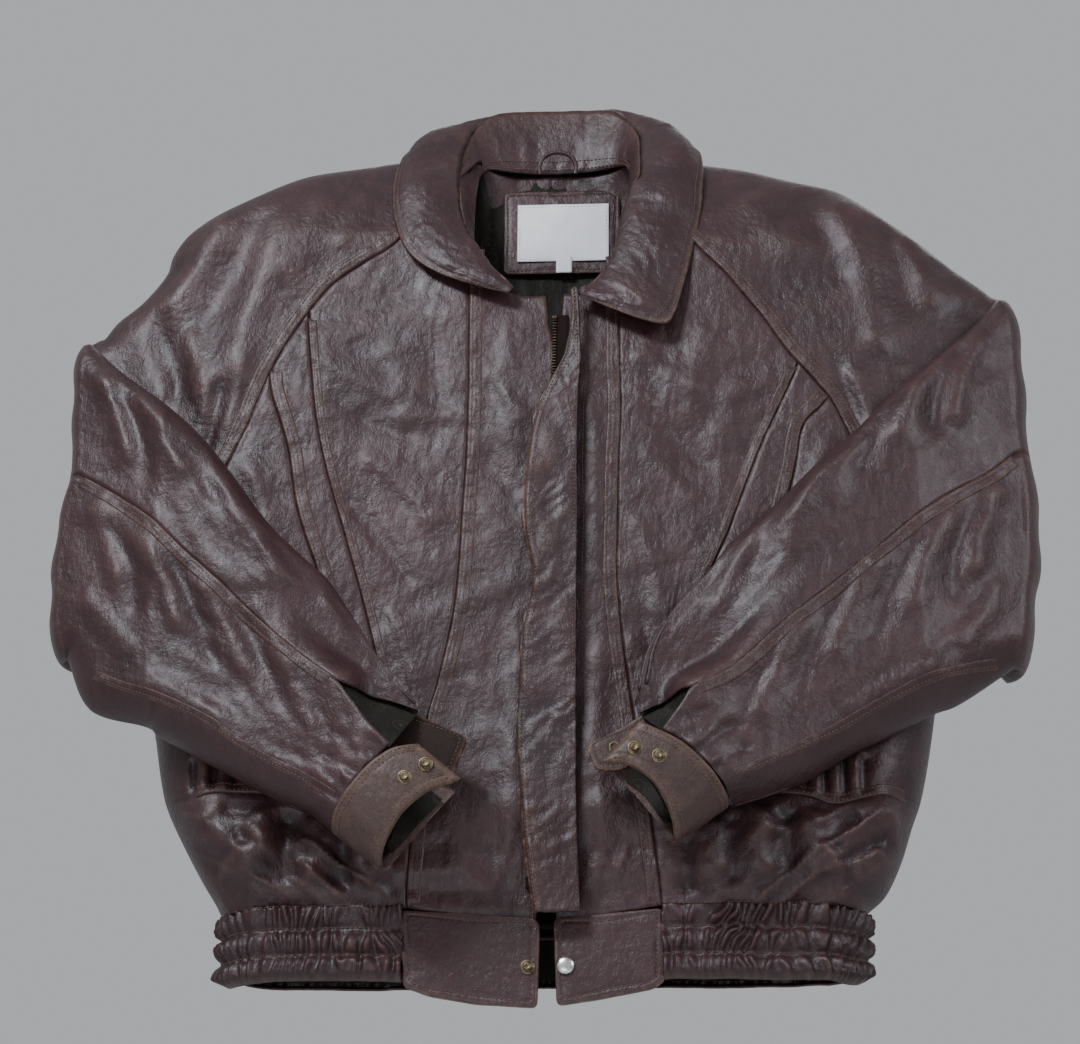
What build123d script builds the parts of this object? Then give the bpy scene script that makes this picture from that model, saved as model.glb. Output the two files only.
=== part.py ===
"""Leather blouson riding jacket, hanging by its loop, front zip open,
both sleeves folded forward across the chest.

Millimetres.  +X is the viewer's right when facing the front (the wearer's
left), +Y runs from the chest to the back, +Z is up.  The origin is the top of
the hanging loop at the middle of the back neck.  "left" and "right" in the
names are the viewer's, facing the front of the jacket.
"""
import os
from math import atan2, cos, degrees, pi, sin, sqrt

from build123d import *

os.makedirs("parts", exist_ok=True)

# ---------------------------------------------------------------- dimensions
LEATHER = 2.4            # body leather with its backing
LINING = 1.0             # lining cloth
LINING_GAP = 0.3         # air between leather and lining
SEAM = 0.4               # open line between neighbouring panels
SPLIT_Y = -18.0          # side seam, between front and back halves

HEM_Z = -716.0           # bottom of the elastic waistband
WAIST_Z = -656.0         # top of the waistband
TAB_HEM_Z = -732.0       # bottom of the two front tabs
WAIST_T = 6.0            # gathered casing thickness
ELASTIC_T = 1.2
LEFT_EDGE_X = -4.0       # left front edge
RIGHT_EDGE_X = 9.0       # right front edge, under the placket

ZIP_TOP_Z = -186.0
ZIP_BOTTOM_Z = -650.0
ZIP_PITCH = 2.0 * 2      # a moulded group of teeth every 4 mm
SLIDER_TRAVEL = 440.0

SNAP_R = 6.5             # hem snap cap
STUD_R = 4.6             # cuff studs
LOOP_D = 3.6             # hanging loop cord


# ------------------------------------------------------------------ helpers
def rounded_loft(sections, inset):
    """Loft through rounded rectangles: (plane, width, height, corner)."""
    with BuildPart() as body:
        for plane, w, h, r in sections:
            with BuildSketch(plane):
                RectangleRounded(w - 2 * inset, h - 2 * inset, max(r - inset, 1.5))
        loft(ruled=True)
    return body.part


def polygon_loft(sections, inset):
    """Loft through polygons: (plane, points)."""
    with BuildPart() as body:
        for plane, pts in sections:
            with BuildSketch(plane):
                with BuildLine():
                    Polyline(*pts, close=True)
                make_face()
                if inset:
                    offset(amount=-inset, kind=Kind.INTERSECTION)
        loft(ruled=True)
    return body.part


def shrink(outline, d):
    """Move every side of a closed outline inward by d, with mitred corners."""
    n = len(outline)
    area = sum(outline[i][0] * outline[(i + 1) % n][1] - outline[(i + 1) % n][0] * outline[i][1] for i in range(n))
    s = 1.0 if area > 0 else -1.0
    out = []
    for i in range(n):
        (ax, ay), (bx, by), (cx, cy) = outline[i - 1], outline[i], outline[(i + 1) % n]
        ul, vl = sqrt((bx - ax) ** 2 + (by - ay) ** 2), sqrt((cx - bx) ** 2 + (cy - by) ** 2)
        ux, uy, vx, vy = (bx - ax) / ul, (by - ay) / ul, (cx - bx) / vl, (cy - by) / vl
        # inward normals of the two sides
        nx, ny, mx, my = -uy * s, ux * s, -vy * s, vx * s
        k = 1.0 + nx * mx + ny * my
        k = max(k, 0.25)
        out.append((bx + d * (nx + mx) / k, by + d * (ny + my) / k))
    return out


def slab(outline, y0, y1, gap=SEAM / 2):
    """Front-view outline (x, z) swept from depth y1 forward to y0."""
    with BuildPart() as body:
        with BuildSketch(Plane.XZ.offset(-y1)):
            with BuildLine():
                Polyline(*(shrink(outline, gap) if gap else outline), close=True)
            make_face()
        extrude(amount=y1 - y0)
    return body.part


def save(builder, name):
    builder.part.label = name
    export_step(builder.part, f"parts/{name}.step")


def lerp(a, b, t):
    return a + (b - a) * t


# ------------------------------------------------------------ torso envelope
# z, x left, x right, y front, y back, corner radius
TORSO = [
    (-12, -130, 130, -8, 26, 14),
    (-60, -160, 160, -34, 28, 24),
    (-110, -200, 200, -60, 29, 34),
    (-200, -246, 246, -62, 30, 38),
    (-300, -290, 284, -63, 30, 38),
    (-400, -304, 292, -64, 30, 38),
    (-511, -303, 288, -66, 30, 38),
    (-600, -276, 258, -67, 30, 38),
    (-655.5, -246, 230, -60, 27, 36),
]


def torso_sections():
    out = []
    for z, x0, x1, y0, y1, r in TORSO:
        plane = Plane(origin=((x0 + x1) / 2, (y0 + y1) / 2, z), x_dir=(1, 0, 0), z_dir=(0, 0, 1))
        out.append((plane, x1 - x0, y1 - y0, r))
    return out


torso_outer = rounded_loft(torso_sections(), 0)
torso_inner = rounded_loft(torso_sections(), LEATHER)
lining_outer = rounded_loft(torso_sections(), LEATHER + LINING_GAP)
lining_inner = rounded_loft(torso_sections(), LEATHER + LINING_GAP + LINING)

with BuildPart() as torso_shell:
    add(torso_outer)
    add(torso_inner, mode=Mode.SUBTRACT)

with BuildPart() as torso_lining_shell:
    add(lining_outer)
    add(lining_inner, mode=Mode.SUBTRACT)

# ----------------------------------------------------------- sleeve envelope
# x, z top, z bottom, y front, y back, ridge y, drop of the front slope
SLEEVE_L = [
    (-72, -9, -200, -60, 26, 0, 98),
    (-123, -15, -260, -60, 27, 0, 96),
    (-161, -22, -300, -61, 28, 0, 90),
    (-210, -35, -340, -62, 28, 0, 80),
    (-251, -55, -372, -60, 26, -1, 66),
    (-287, -77, -396, -56, 24, -3, 56),
    (-306, -98, -410, -53, 22, -5, 50),
    (-344, -148, -440, -46, 18, -9, 36),
    (-371.5, -188, -462, -38, 14, -12, 26),
]
SLEEVE_R = [
    (70, -11, -200, -60, 26, 0, 98),
    (122, -24, -260, -60, 27, 0, 94),
    (166, -32, -300, -61, 28, 0, 88),
    (198, -43, -340, -62, 28, 0, 80),
    (238, -64, -366, -60, 26, -1, 66),
    (277, -97, -392, -56, 24, -4, 54),
    (315, -130, -424, -50, 20, -7, 44),
    (336, -145, -446, -44, 17, -9, 36),
    (353.5, -158, -484, -38, 14, -12, 28),
]


def sleeve_sections(data):
    out = []
    for x, zt, zb, yf, yb, yt, drop in data:
        back = 0.5 * drop
        pts = [
            (yt - 6, zt), (yt + 6, zt), (yb, zt - back), (yb, zb + 26),
            (yt + 8, zb), (yt - 8, zb), (yf, zb + 30), (yf, zt - drop),
        ]
        plane = Plane(origin=(x, 0, 0), x_dir=(0, 1, 0), z_dir=(1, 0, 0))
        out.append((plane, pts))
    return out


sleeve_shells = {}
for side, data in (("left", SLEEVE_L), ("right", SLEEVE_R)):
    outer = polygon_loft(sleeve_sections(data), 0)
    inner = polygon_loft(sleeve_sections(data), LEATHER)
    l_out = polygon_loft(sleeve_sections(data), LEATHER + LINING_GAP)
    l_in = polygon_loft(sleeve_sections(data), LEATHER + LINING_GAP + LINING)
    with BuildPart() as shell_leather:
        add(outer)
        add(inner, mode=Mode.SUBTRACT)
    with BuildPart() as shell_lining:
        add(l_out)
        add(l_in, mode=Mode.SUBTRACT)
    sleeve_shells[side] = (shell_leather.part, shell_lining.part)

# ------------------------------------------------------- seam lines (x, z)
RAGLAN_L = [(-72, -62), (-98, -86), (-123, -111), (-152, -137), (-183, -168), (-209, -207),
            (-226, -241), (-241, -280), (-262, -330), (-296, -398), (-336, -438)]
RAGLAN_R = [(70, -66), (93, -95), (116, -123), (140, -150), (166, -188), (192, -223),
            (218, -258), (229, -284), (250, -330), (286, -392), (326, -432)]
PRINCESS_L = [(-60, -122), (-64, -187), (-64, -261), (-67, -345), (-74, -427), (-86, -499),
              (-99, -584), (-103, -629), (-106, -655)]
PRINCESS_R = [(50, -140), (52, -212), (51, -263), (50, -347), (51, -429), (55, -500),
              (67, -585), (75, -630), (80, -655)]
DIAGONAL_L = [(-205, -201), (-186, -290), (-163, -385), (-140, -445), (-125, -520), (-132, -566)]
DIAGONAL_R = [(185, -213.5), (160, -297), (137, -362), (120, -402), (104, -480), (112, -566)]
HIP_Z = -566.0            # seam over the gathered lower panels

FRONT_L = [(LEFT_EDGE_X, -655), (LEFT_EDGE_X, -173), (-30, -169), (-45, -150)] + PRINCESS_L
FRONT_R = [(RIGHT_EDGE_X, -655), (RIGHT_EDGE_X, -172), (24, -168), (38, -155)] + PRINCESS_R
CHEST_L = ([(-60, -122), (-71, -94)] + RAGLAN_L[:5] + DIAGONAL_L + [(-120, -600), (-106, -655)]
           + PRINCESS_L[-2:0:-1])
CHEST_R = ([(50, -140), (65, -95)] + RAGLAN_R[:5] + DIAGONAL_R + [(98, -600), (80, -655)]
           + PRINCESS_R[-2:0:-1])
SIDE_L = [DIAGONAL_L[0]] + RAGLAN_L[5:] + [(-336, HIP_Z)] + DIAGONAL_L[:0:-1]
SIDE_R = [DIAGONAL_R[0]] + RAGLAN_R[5:] + [(326, HIP_Z)] + DIAGONAL_R[:0:-1]
LOWER_L = [(-336, HIP_Z), (-132, HIP_Z), (-120, -600), (-106, -655), (-336, -655)]
LOWER_R = [(326, HIP_Z), (112, HIP_Z), (98, -600), (80, -655), (326, -655)]
# the chest outline passes the diagonal's first point on the raglan line
BACK_TOP = [(-72, -14), (70, -14)]
YOKE = BACK_TOP + RAGLAN_R[:4] + RAGLAN_L[3::-1]
BACK = RAGLAN_L[3:] + [(-336, -655), (326, -655)] + RAGLAN_R[:2:-1]
OUTSIDE_L = RAGLAN_L + [(-336, -500), (-420, -500), (-420, 40), (-72, 40)]
OUTSIDE_R = RAGLAN_R + [(326, -520), (420, -520), (420, 40), (70, 40)]

# ---------------------------------------------------------- torso panels
PANELS = {
    "front_panel_left": (FRONT_L, -90, SPLIT_Y), "front_panel_right": (FRONT_R, -90, SPLIT_Y),
    "chest_panel_left": (CHEST_L, -90, SPLIT_Y), "chest_panel_right": (CHEST_R, -90, SPLIT_Y),
    "side_panel_left": (SIDE_L, -90, SPLIT_Y), "side_panel_right": (SIDE_R, -90, SPLIT_Y),
    "lower_panel_left": (LOWER_L, -90, SPLIT_Y), "lower_panel_right": (LOWER_R, -90, SPLIT_Y),
    "back_yoke": (YOKE, 8, 60), "back_panel": (BACK, SPLIT_Y + SEAM, 60),
}
for name, (outline, y0, y1) in PANELS.items():
    cutter = slab(outline, y0, y1)
    with BuildPart() as panel:
        add(torso_shell.part)
        add(cutter, mode=Mode.INTERSECT)
    save(panel, name)

# lining: whole inside of the body between the two front facings
lining_front_l = slab([(-56, -654), (-56, -128), (-71, -94)] + RAGLAN_L + [(-336, -654)], -90, SPLIT_Y + 0.2)
lining_front_r = slab([(56, -654), (56, -122), (66, -94)] + RAGLAN_R + [(326, -654)], -90, SPLIT_Y + 0.2)
lining_back = slab(RAGLAN_R[3:] + [(326, -654), (-336, -654)] + RAGLAN_L[:2:-1], SPLIT_Y + 0.2, 60)
lining_yoke = slab(BACK_TOP + RAGLAN_R[:5] + RAGLAN_L[4::-1], 8, 60)
with BuildPart() as body_lining:
    add(lining_front_l)
    add(lining_front_r)
    add(lining_back)
    add(lining_yoke)
    add(torso_lining_shell.part, mode=Mode.INTERSECT)
save(body_lining, "body_lining")

for name, outline in (("front_facing_left", [(-8, -654), (-8, -175), (-31, -171), (-46, -152), (-55.6, -130), (-55.6, -654)]),
                      ("front_facing_right", [(13, -654), (13, -175), (26, -171), (40, -155), (55.6, -127), (55.6, -654)])):
    cutter = slab(outline, -90, SPLIT_Y, 0)
    with BuildPart() as facing:
        add(torso_lining_shell.part)
        add(cutter, mode=Mode.INTERSECT)
    save(facing, name)

# ---------------------------------------------------------- raglan sleeves
for side, outline in (("left", OUTSIDE_L), ("right", OUTSIDE_R)):
    leather, cloth = sleeve_shells[side]
    front_cut = slab(outline, -90, SPLIT_Y)
    back_cut = slab(outline, SPLIT_Y + SEAM, 60)
    all_cut = slab(outline, -90, 60)
    with BuildPart() as sleeve_front:
        add(leather)
        add(front_cut, mode=Mode.INTERSECT)
    save(sleeve_front, f"sleeve_front_{side}")
    with BuildPart() as sleeve_back:
        add(leather)
        add(back_cut, mode=Mode.INTERSECT)
    save(sleeve_back, f"sleeve_back_{side}")
    with BuildPart() as sleeve_lining:
        add(cloth)
        add(all_cut, mode=Mode.INTERSECT)
    save(sleeve_lining, f"sleeve_lining_{side}")

# ------------------------------------------------ folded forearms and cuffs
# top point, bottom point (x, z), rear depth, front depth
FOREARM_L = [
    ((-371.5, -196), (-371.5, -461), -39.5, -78),
    ((-273, -291), (-309, -529), -70, -112),
    ((-194, -372), (-252, -566), -77, -122),
    ((-131, -453), (-214, -582), -84, -132),
    ((-108, -567), (-150, -621), -98, -144),
]
CUFF_L = [
    ((-107.6, -567.6), (-149.6, -621.6), -97, -145),
    ((-57, -592), (-114, -648), -95, -146),
]
FOREARM_R = [
    ((353.5, -168), (353.5, -484), -39.5, -78),
    ((280, -270), (318, -517), -70, -112),
    ((205, -335), (250, -548), -77, -122),
    ((127, -429), (195, -573), -84, -132),
    ((75, -555), (131, -604), -98, -144),
]
CUFF_R = [
    ((74.5, -555.5), (130.5, -604.5), -97, -145),
    ((39, -582), (92, -631), -95, -146),
]
CUFF_T = 3.6


def tube_sections(data, sign):
    out = []
    for (tx, tz), (bx, bz), yr, yf in data:
        w = sqrt((tx - bx) ** 2 + (tz - bz) ** 2)
        ux, uz = (tx - bx) / w, (tz - bz) / w
        normal = (uz * sign, 0, -ux * sign)
        plane = Plane(origin=((tx + bx) / 2, (yr + yf) / 2, (tz + bz) / 2), x_dir=(ux, 0, uz), z_dir=normal)
        h = yr - yf
        out.append((plane, w, h, h / 2 - 1.0))
    return out


SEAM_LINES = {"left": ((-372, -308), (-148, -512)), "right": ((366, -292), (107, -525))}
for side, sign, arm, cuff in (("left", 1, FOREARM_L, CUFF_L), ("right", -1, FOREARM_R, CUFF_R)):
    arm_sections = tube_sections(arm, sign)
    cuff_sections = tube_sections(cuff, sign)
    outer = rounded_loft(arm_sections, 0)
    inner = rounded_loft(arm_sections, LEATHER)
    l_out = rounded_loft(arm_sections, LEATHER + LINING_GAP)
    l_in = rounded_loft(arm_sections, LEATHER + LINING_GAP + LINING)
    cuff_out = rounded_loft(cuff_sections, 0)
    cuff_in = rounded_loft(cuff_sections, CUFF_T)
    (ax, az), (bx, bz) = SEAM_LINES[side]
    length = sqrt((bx - ax) ** 2 + (bz - az) ** 2)
    dx, dz = (bx - ax) / length, (bz - az) / length
    # unit vector square to the seam line, towards the top edge of the sleeve
    nx, nz = (-dz, dx) if (-dz * 0 + dx * 1) > 0 else (dz, -dx)
    far = 900.0
    top_half = slab([(ax - dx * far, az - dz * far), (bx + dx * far, bz + dz * far),
                     (bx + dx * far + nx * far, bz + dz * far + nz * far),
                     (ax - dx * far + nx * far, az - dz * far + nz * far)], -200, 0)
    low_half = slab([(ax - dx * far, az - dz * far), (bx + dx * far, bz + dz * far),
                     (bx + dx * far - nx * far, bz + dz * far - nz * far),
                     (ax - dx * far - nx * far, az - dz * far - nz * far)], -200, 0)
    # the vent: a slit along the top of the sleeve end and through the cuff
    (t3, _, _, _), (t4, b4, yr4, yf4), (t5, b5, yr5, yf5) = arm[3], arm[4], cuff[1]
    vent = [(lerp(t3[0], t4[0], 0.35), lerp(t3[1], t4[1], 0.35) + 30),
            (lerp(t3[0], t4[0], 0.35) - 4 * sign, lerp(t3[1], t4[1], 0.35) - 22),
            (t4[0] - 6 * sign, t4[1] - 9), (t5[0] + 20 * sign, t5[1] - 21), (t5[0] + 30 * sign, t5[1] + 30)]
    vent_cut = slab(vent, -200, 0, 0)
    with BuildPart() as forearm_upper:
        add(outer)
        add(inner, mode=Mode.SUBTRACT)
        add(top_half, mode=Mode.INTERSECT)
        add(vent_cut, mode=Mode.SUBTRACT)
    save(forearm_upper, f"forearm_upper_{side}")
    with BuildPart() as forearm_lower:
        add(outer)
        add(inner, mode=Mode.SUBTRACT)
        add(low_half, mode=Mode.INTERSECT)
        add(vent_cut, mode=Mode.SUBTRACT)
    save(forearm_lower, f"forearm_lower_{side}")
    with BuildPart() as forearm_lining:
        add(l_out)
        add(l_in, mode=Mode.SUBTRACT)
        add(vent_cut, mode=Mode.SUBTRACT)
    save(forearm_lining, f"forearm_lining_{side}")
    with BuildPart() as cuff_band:
        add(cuff_out)
        add(cuff_in, mode=Mode.SUBTRACT)
        add(vent_cut, mode=Mode.SUBTRACT)
    save(cuff_band, f"cuff_band_{side}")

# cuff studs, two on the front face of each band
STUDS = {"left": [(-97, -594), (-82, -601)], "right": [(81, -581), (64, -590)]}
CUFF_FRONT = {"left": -146.0, "right": -146.0}
for side, spots in STUDS.items():
    with BuildPart() as cuff_studs:
        for x, z in spots:
            with BuildSketch(Plane(origin=(x, -146.4, z), x_dir=(1, 0, 0), z_dir=(0, -1, 0))):
                Circle(STUD_R)
            extrude(amount=0.8)
            with BuildSketch(Plane(origin=(x, -147.2, z), x_dir=(1, 0, 0), z_dir=(0, -1, 0))):
                Circle(2.2)
            extrude(amount=2.0)
    save(cuff_studs, f"cuff_studs_{side}")

# cuff tabs: the buttoning end of each cuff, standing open above the band
TABS = {"left": ((-110, -565), (-62, -588), (-52, -556), (-96, -536)),
        "right": ((78, -552), (40, -577), (32, -561), (58, -533))}
TAB_Y = -100.0
TAB_T = 3.4
for side, (h0, h1, o1, o0) in TABS.items():
    with BuildPart() as cuff_tab:
        with BuildSketch(Plane.XZ.offset(-TAB_Y)):
            with BuildLine():
                Polyline(h0, h1, o1, o0, close=True)
            make_face()
        extrude(amount=TAB_T)
        fillet(cuff_tab.edges().filter_by(Axis.Y), 4.0)
    save(cuff_tab, f"cuff_tab_{side}")
    cx = (h0[0] + h1[0] + o1[0] + o0[0]) / 4
    cz = (h0[1] + h1[1] + o1[1] + o0[1]) / 4
    ux, uz = (h1[0] - h0[0]) / 2, (h1[1] - h0[1]) / 2
    norm = sqrt(ux * ux + uz * uz)
    with BuildPart() as cuff_caps:
        for k in (-8.5, 8.5):
            with BuildSketch(Plane(origin=(cx + ux / norm * k, TAB_Y, cz + uz / norm * k), x_dir=(1, 0, 0), z_dir=(0, 1, 0))):
                Circle(6.0)
            extrude(amount=1.8)
    save(cuff_caps, f"cuff_caps_{side}")

# ------------------------------------------------------------ placket
PLACKET = [(19, -174), (24, -174), (24, -250), (24, -400), (23, -560), (25, -655),
           (-14, -655), (-19, -590), (-22, -530), (-20, -470), (-15, -417), (-18, -350),
           (-14, -293), (-4, -264), (12, -238), (18, -204)]
with BuildPart() as placket:
    with BuildSketch(Plane.XZ.offset(76.5)):
        with BuildLine():
            Polyline(*PLACKET, close=True)
        make_face()
    extrude(amount=3.2)
save(placket, "placket")

# ------------------------------------------------------------ zip fastener
TAPE_T = 0.8
with BuildPart() as zip_tape_left:
    with BuildSketch(Plane.XZ.offset(68.2)):
        with Locations((-11, (ZIP_TOP_Z + ZIP_BOTTOM_Z) / 2)):
            Rectangle(10, ZIP_TOP_Z - ZIP_BOTTOM_Z)
    extrude(amount=TAPE_T)
save(zip_tape_left, "zip_tape_left")

with BuildPart() as zip_tape_right:
    with BuildSketch(Plane.XZ.offset(70.6)):
        with Locations((8.4, (ZIP_TOP_Z + ZIP_BOTTOM_Z) / 2)):
            Rectangle(11.2, ZIP_TOP_Z - ZIP_BOTTOM_Z)
    extrude(amount=TAPE_T)
save(zip_tape_right, "zip_tape_right")

TOOTH_SPAN = ZIP_TOP_Z - ZIP_BOTTOM_Z - 24
TOOTH_N = int(TOOTH_SPAN / ZIP_PITCH)
tooth_z = [ZIP_BOTTOM_Z + 14 + i * ZIP_PITCH for i in range(TOOTH_N)]
with BuildPart() as zip_teeth_left:
    with BuildSketch(Plane.XZ.offset(67.6)):
        with Locations(*[(-4.9, z) for z in tooth_z]):
            Rectangle(2.2, 2.0)
    extrude(amount=2.0)
    with BuildSketch(Plane.XZ.offset(69.0)):
        with Locations((-6.6, (tooth_z[0] + tooth_z[-1]) / 2)):
            Rectangle(1.6, tooth_z[-1] - tooth_z[0] + 2)
    extrude(amount=0.6)
save(zip_teeth_left, "zip_teeth_left")

with BuildPart() as zip_teeth_right:
    with BuildSketch(Plane.XZ.offset(70.0)):
        with Locations(*[(1.7, z) for z in tooth_z]):
            Rectangle(2.2, 2.0)
    extrude(amount=2.0)
    with BuildSketch(Plane.XZ.offset(71.4)):
        with Locations((3.4, (tooth_z[0] + tooth_z[-1]) / 2)):
            Rectangle(1.6, tooth_z[-1] - tooth_z[0] + 2)
    extrude(amount=0.6)
save(zip_teeth_right, "zip_teeth_right")

with BuildPart() as zip_stops:
    with BuildSketch(Plane.XZ.offset(69.9)):       # retaining box, right chain
        with Locations((1.8, ZIP_BOTTOM_Z + 5.5)):
            Rectangle(7.6, 10)
    extrude(amount=2.6)
    with BuildSketch(Plane.XZ.offset(67.5)):       # insertion pin, left chain
        with Locations((-4.9, ZIP_BOTTOM_Z + 6)):
            Rectangle(2.0, 12)
    extrude(amount=2.2)
    with BuildSketch(Plane.XZ.offset(70.0)):       # top stop, right
        with Locations((1.7, tooth_z[-1] + 5)):
            Rectangle(2.4, 4)
    extrude(amount=2.0)
    with BuildSketch(Plane.XZ.offset(67.6)):       # top stop, left
        with Locations((-4.9, tooth_z[-1] + 5)):
            Rectangle(2.4, 4)
    extrude(amount=2.0)
    add(zip_tape_left.part, mode=Mode.SUBTRACT)
    add(zip_tape_right.part, mode=Mode.SUBTRACT)
save(zip_stops, "zip_stops")

SLIDER_Z = tooth_z[0] + 8                           # parked at the bottom
with BuildPart() as zip_slider:
    with BuildSketch(Plane.XZ.offset(72.4)):        # front plate
        with Locations((1.8, SLIDER_Z)):
            RectangleRounded(9.0, 11.0, 2.0)
    extrude(amount=1.0)
    with BuildSketch(Plane.XZ.offset(68.9 + 0.1)):  # rear plate
        with Locations((1.9, SLIDER_Z)):
            RectangleRounded(8.6, 11.0, 2.0)
    extrude(amount=0.7)
    with BuildSketch(Plane.XZ.offset(69.5)):        # rib joining the plates
        with Locations((-1.0, SLIDER_Z)):
            Rectangle(1.8, 8.0)
    extrude(amount=3.2)
    with BuildSketch(Plane.XZ.offset(73.3)):        # bridge for the pull
        with Locations((1.8, SLIDER_Z + 3.2), (1.8, SLIDER_Z - 1.0)):
            Rectangle(2.0, 1.2)
    extrude(amount=2.0)
    with BuildSketch(Plane.XZ.offset(75.1)):
        with Locations((1.8, SLIDER_Z + 1.1)):
            Rectangle(2.0, 5.4)
    extrude(amount=0.7)
save(zip_slider, "zip_slider")

PULL_TOP = SLIDER_Z + 1.6
with BuildPart() as zip_pull:
    with BuildSketch(Plane.XZ.offset(73.75)):
        with Locations((1.8, PULL_TOP - 13)):
            RectangleRounded(5.6, 28, 1.6)
        with Locations((1.8, PULL_TOP - 2.6)):
            Rectangle(3.0, 5.2, mode=Mode.SUBTRACT)
        with Locations((1.8, PULL_TOP - 21.5)):
            RectangleRounded(2.6, 6, 1.0, mode=Mode.SUBTRACT)
    extrude(amount=1.0)
save(zip_pull, "zip_pull")

# ------------------------------------------------------------ collar
# the stand goes round the back of the neck, the leaf falls outside it
with BuildPart() as collar_stand:
    with BuildSketch(Plane.XY.offset(-12)):
        with BuildLine():
            o = ThreePointArc((-68, -26), (-1, 18), (66, -26))
            i = ThreePointArc((-65, -27), (-1, 15), (63, -27))
            Line((-68, -26), (-65, -27))
            Line((66, -26), (63, -27))
        make_face()
    extrude(amount=54)
save(collar_stand, "collar_stand")

with BuildPart() as collar_leaf_back:
    with BuildSketch(Plane.XY.offset(46)):
        with BuildLine():
            ThreePointArc((-72, -24), (-1, 22.5), (70, -24))
            ThreePointArc((-69, -25.5), (-1, 18.7), (67, -25.5))
            Line((-72, -24), (-69, -25.5))
            Line((70, -24), (67, -25.5))
        make_face()
    with BuildSketch(Plane.XY.offset(-24)):
        with BuildLine():
            ThreePointArc((-104, 33), (-1, 41), (102, 33))
            ThreePointArc((-103.5, 30), (-1, 37.5), (101.5, 30))
            Line((-104, 33), (-103.5, 30))
            Line((102, 33), (101.5, 30))
        make_face()
    loft(ruled=True)
    split(bisect_by=Plane(origin=(0, 7, 0), z_dir=(0, 1, 0)), keep=Keep.TOP)
save(collar_leaf_back, "collar_leaf_back")

# side profile (y, z) of the falling wings, extruded across, cut to outline
WING_REAR = [(4, 44), (-9, -4), (-14, -14), (-66, -108), (-73, -206)]
WING_T = 4.0
wing_front = [(4 - 4.2, 45), (-9 - 4.2, -4), (-18.5, -12), (-70.3, -107), (-77.2, -206)]
WINGS = {
    "left": ([(-70, 20), (-73, -10), (-76, -34), (-78, -62), (-73, -96), (-61, -123), (-47, -146), (-32, -164),
              (-32, -172), (-57, -164), (-85, -154), (-105, -141), (-117, -124), (-126, -97), (-126, -70),
              (-119, -47), (-108, -20), (-100, 6), (-88, 24)]),
    "right": ([(62, 20), (66, -12), (71, -39), (69, -70), (58, -97), (46, -123), (35, -145), (21, -160),
               (20, -163), (38, -177), (61, -192), (84, -202), (96, -198), (108, -165), (116, -129),
               (119, -84), (116, -43), (104, -16), (94, 10), (84, 26)]),
}
for side, outline in WINGS.items():
    wing_cut = slab(outline, -120, 40, 0)
    with BuildPart() as collar_wing:
        with BuildSketch(Plane(origin=(-200, 0, 0), x_dir=(0, 1, 0), z_dir=(1, 0, 0))):
            with BuildLine():
                Polyline(*(WING_REAR + wing_front[::-1]), close=True)
            make_face()
        extrude(amount=400)
        add(wing_cut, mode=Mode.INTERSECT)
    save(collar_wing, f"collar_wing_{side}")

# ------------------------------------------- label, size tag, hanging loop
with BuildPart() as label_patch:
    with BuildSketch(Plane.XZ.offset(-21.8)):
        with Locations((3.5, -66)):
            RectangleRounded(96, 78, 3)
    extrude(amount=1.6)
save(label_patch, "label_patch")

with BuildPart() as woven_label:
    with BuildSketch(Plane.XZ.offset(-20.1)):
        with Locations((4.5, -67.5)):
            Rectangle(75, 53)
    extrude(amount=0.7)
save(woven_label, "woven_label")

with BuildPart() as size_tag:
    with BuildSketch(Plane.XZ.offset(-19.3)):
        with Locations((5.5, -97)):
            Rectangle(13, 15)
    extrude(amount=0.6)
save(size_tag, "size_tag")

with BuildPart() as hang_loop:
    with BuildLine() as loop_path:
        FilletPolyline((-14, 3, -22), (-14, 0, -LOOP_D / 2), (15, 0, -LOOP_D / 2), (15, 3, -22), radius=7.0)
    with BuildSketch(Plane(origin=loop_path.wire() @ 0, z_dir=loop_path.wire() % 0)):
        Circle(LOOP_D / 2)
    sweep()
save(hang_loop, "hang_loop")

# ------------------------------------------------------------ waistband
WAIST = [(WAIST_Z, -242, 229, -60, 26, 34), (HEM_Z, -236, 223, -57, 22, 34)]


def waist_sections(z_top, z_bottom):
    (z0, a0, b0, f0, k0, r0), (z1, a1, b1, f1, k1, r1) = WAIST
    out = []
    for z in (z_top, z_bottom):
        t = (z - z0) / (z1 - z0)
        a, b, f, k = lerp(a0, a1, t), lerp(b0, b1, t), lerp(f0, f1, t), lerp(k0, k1, t)
        plane = Plane(origin=((a + b) / 2, (f + k) / 2, z), x_dir=(1, 0, 0), z_dir=(0, 0, 1))
        out.append((plane, b - a, k - f, r0))
    return out


def waist_ring(z_top, z_bottom, inset_out, inset_in):
    outer = rounded_loft(waist_sections(z_top, z_bottom), inset_out)
    inner = rounded_loft(waist_sections(z_top, z_bottom), inset_in)
    with BuildPart() as ring:
        add(outer)
        add(inner, mode=Mode.SUBTRACT)
    return ring.part


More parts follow.
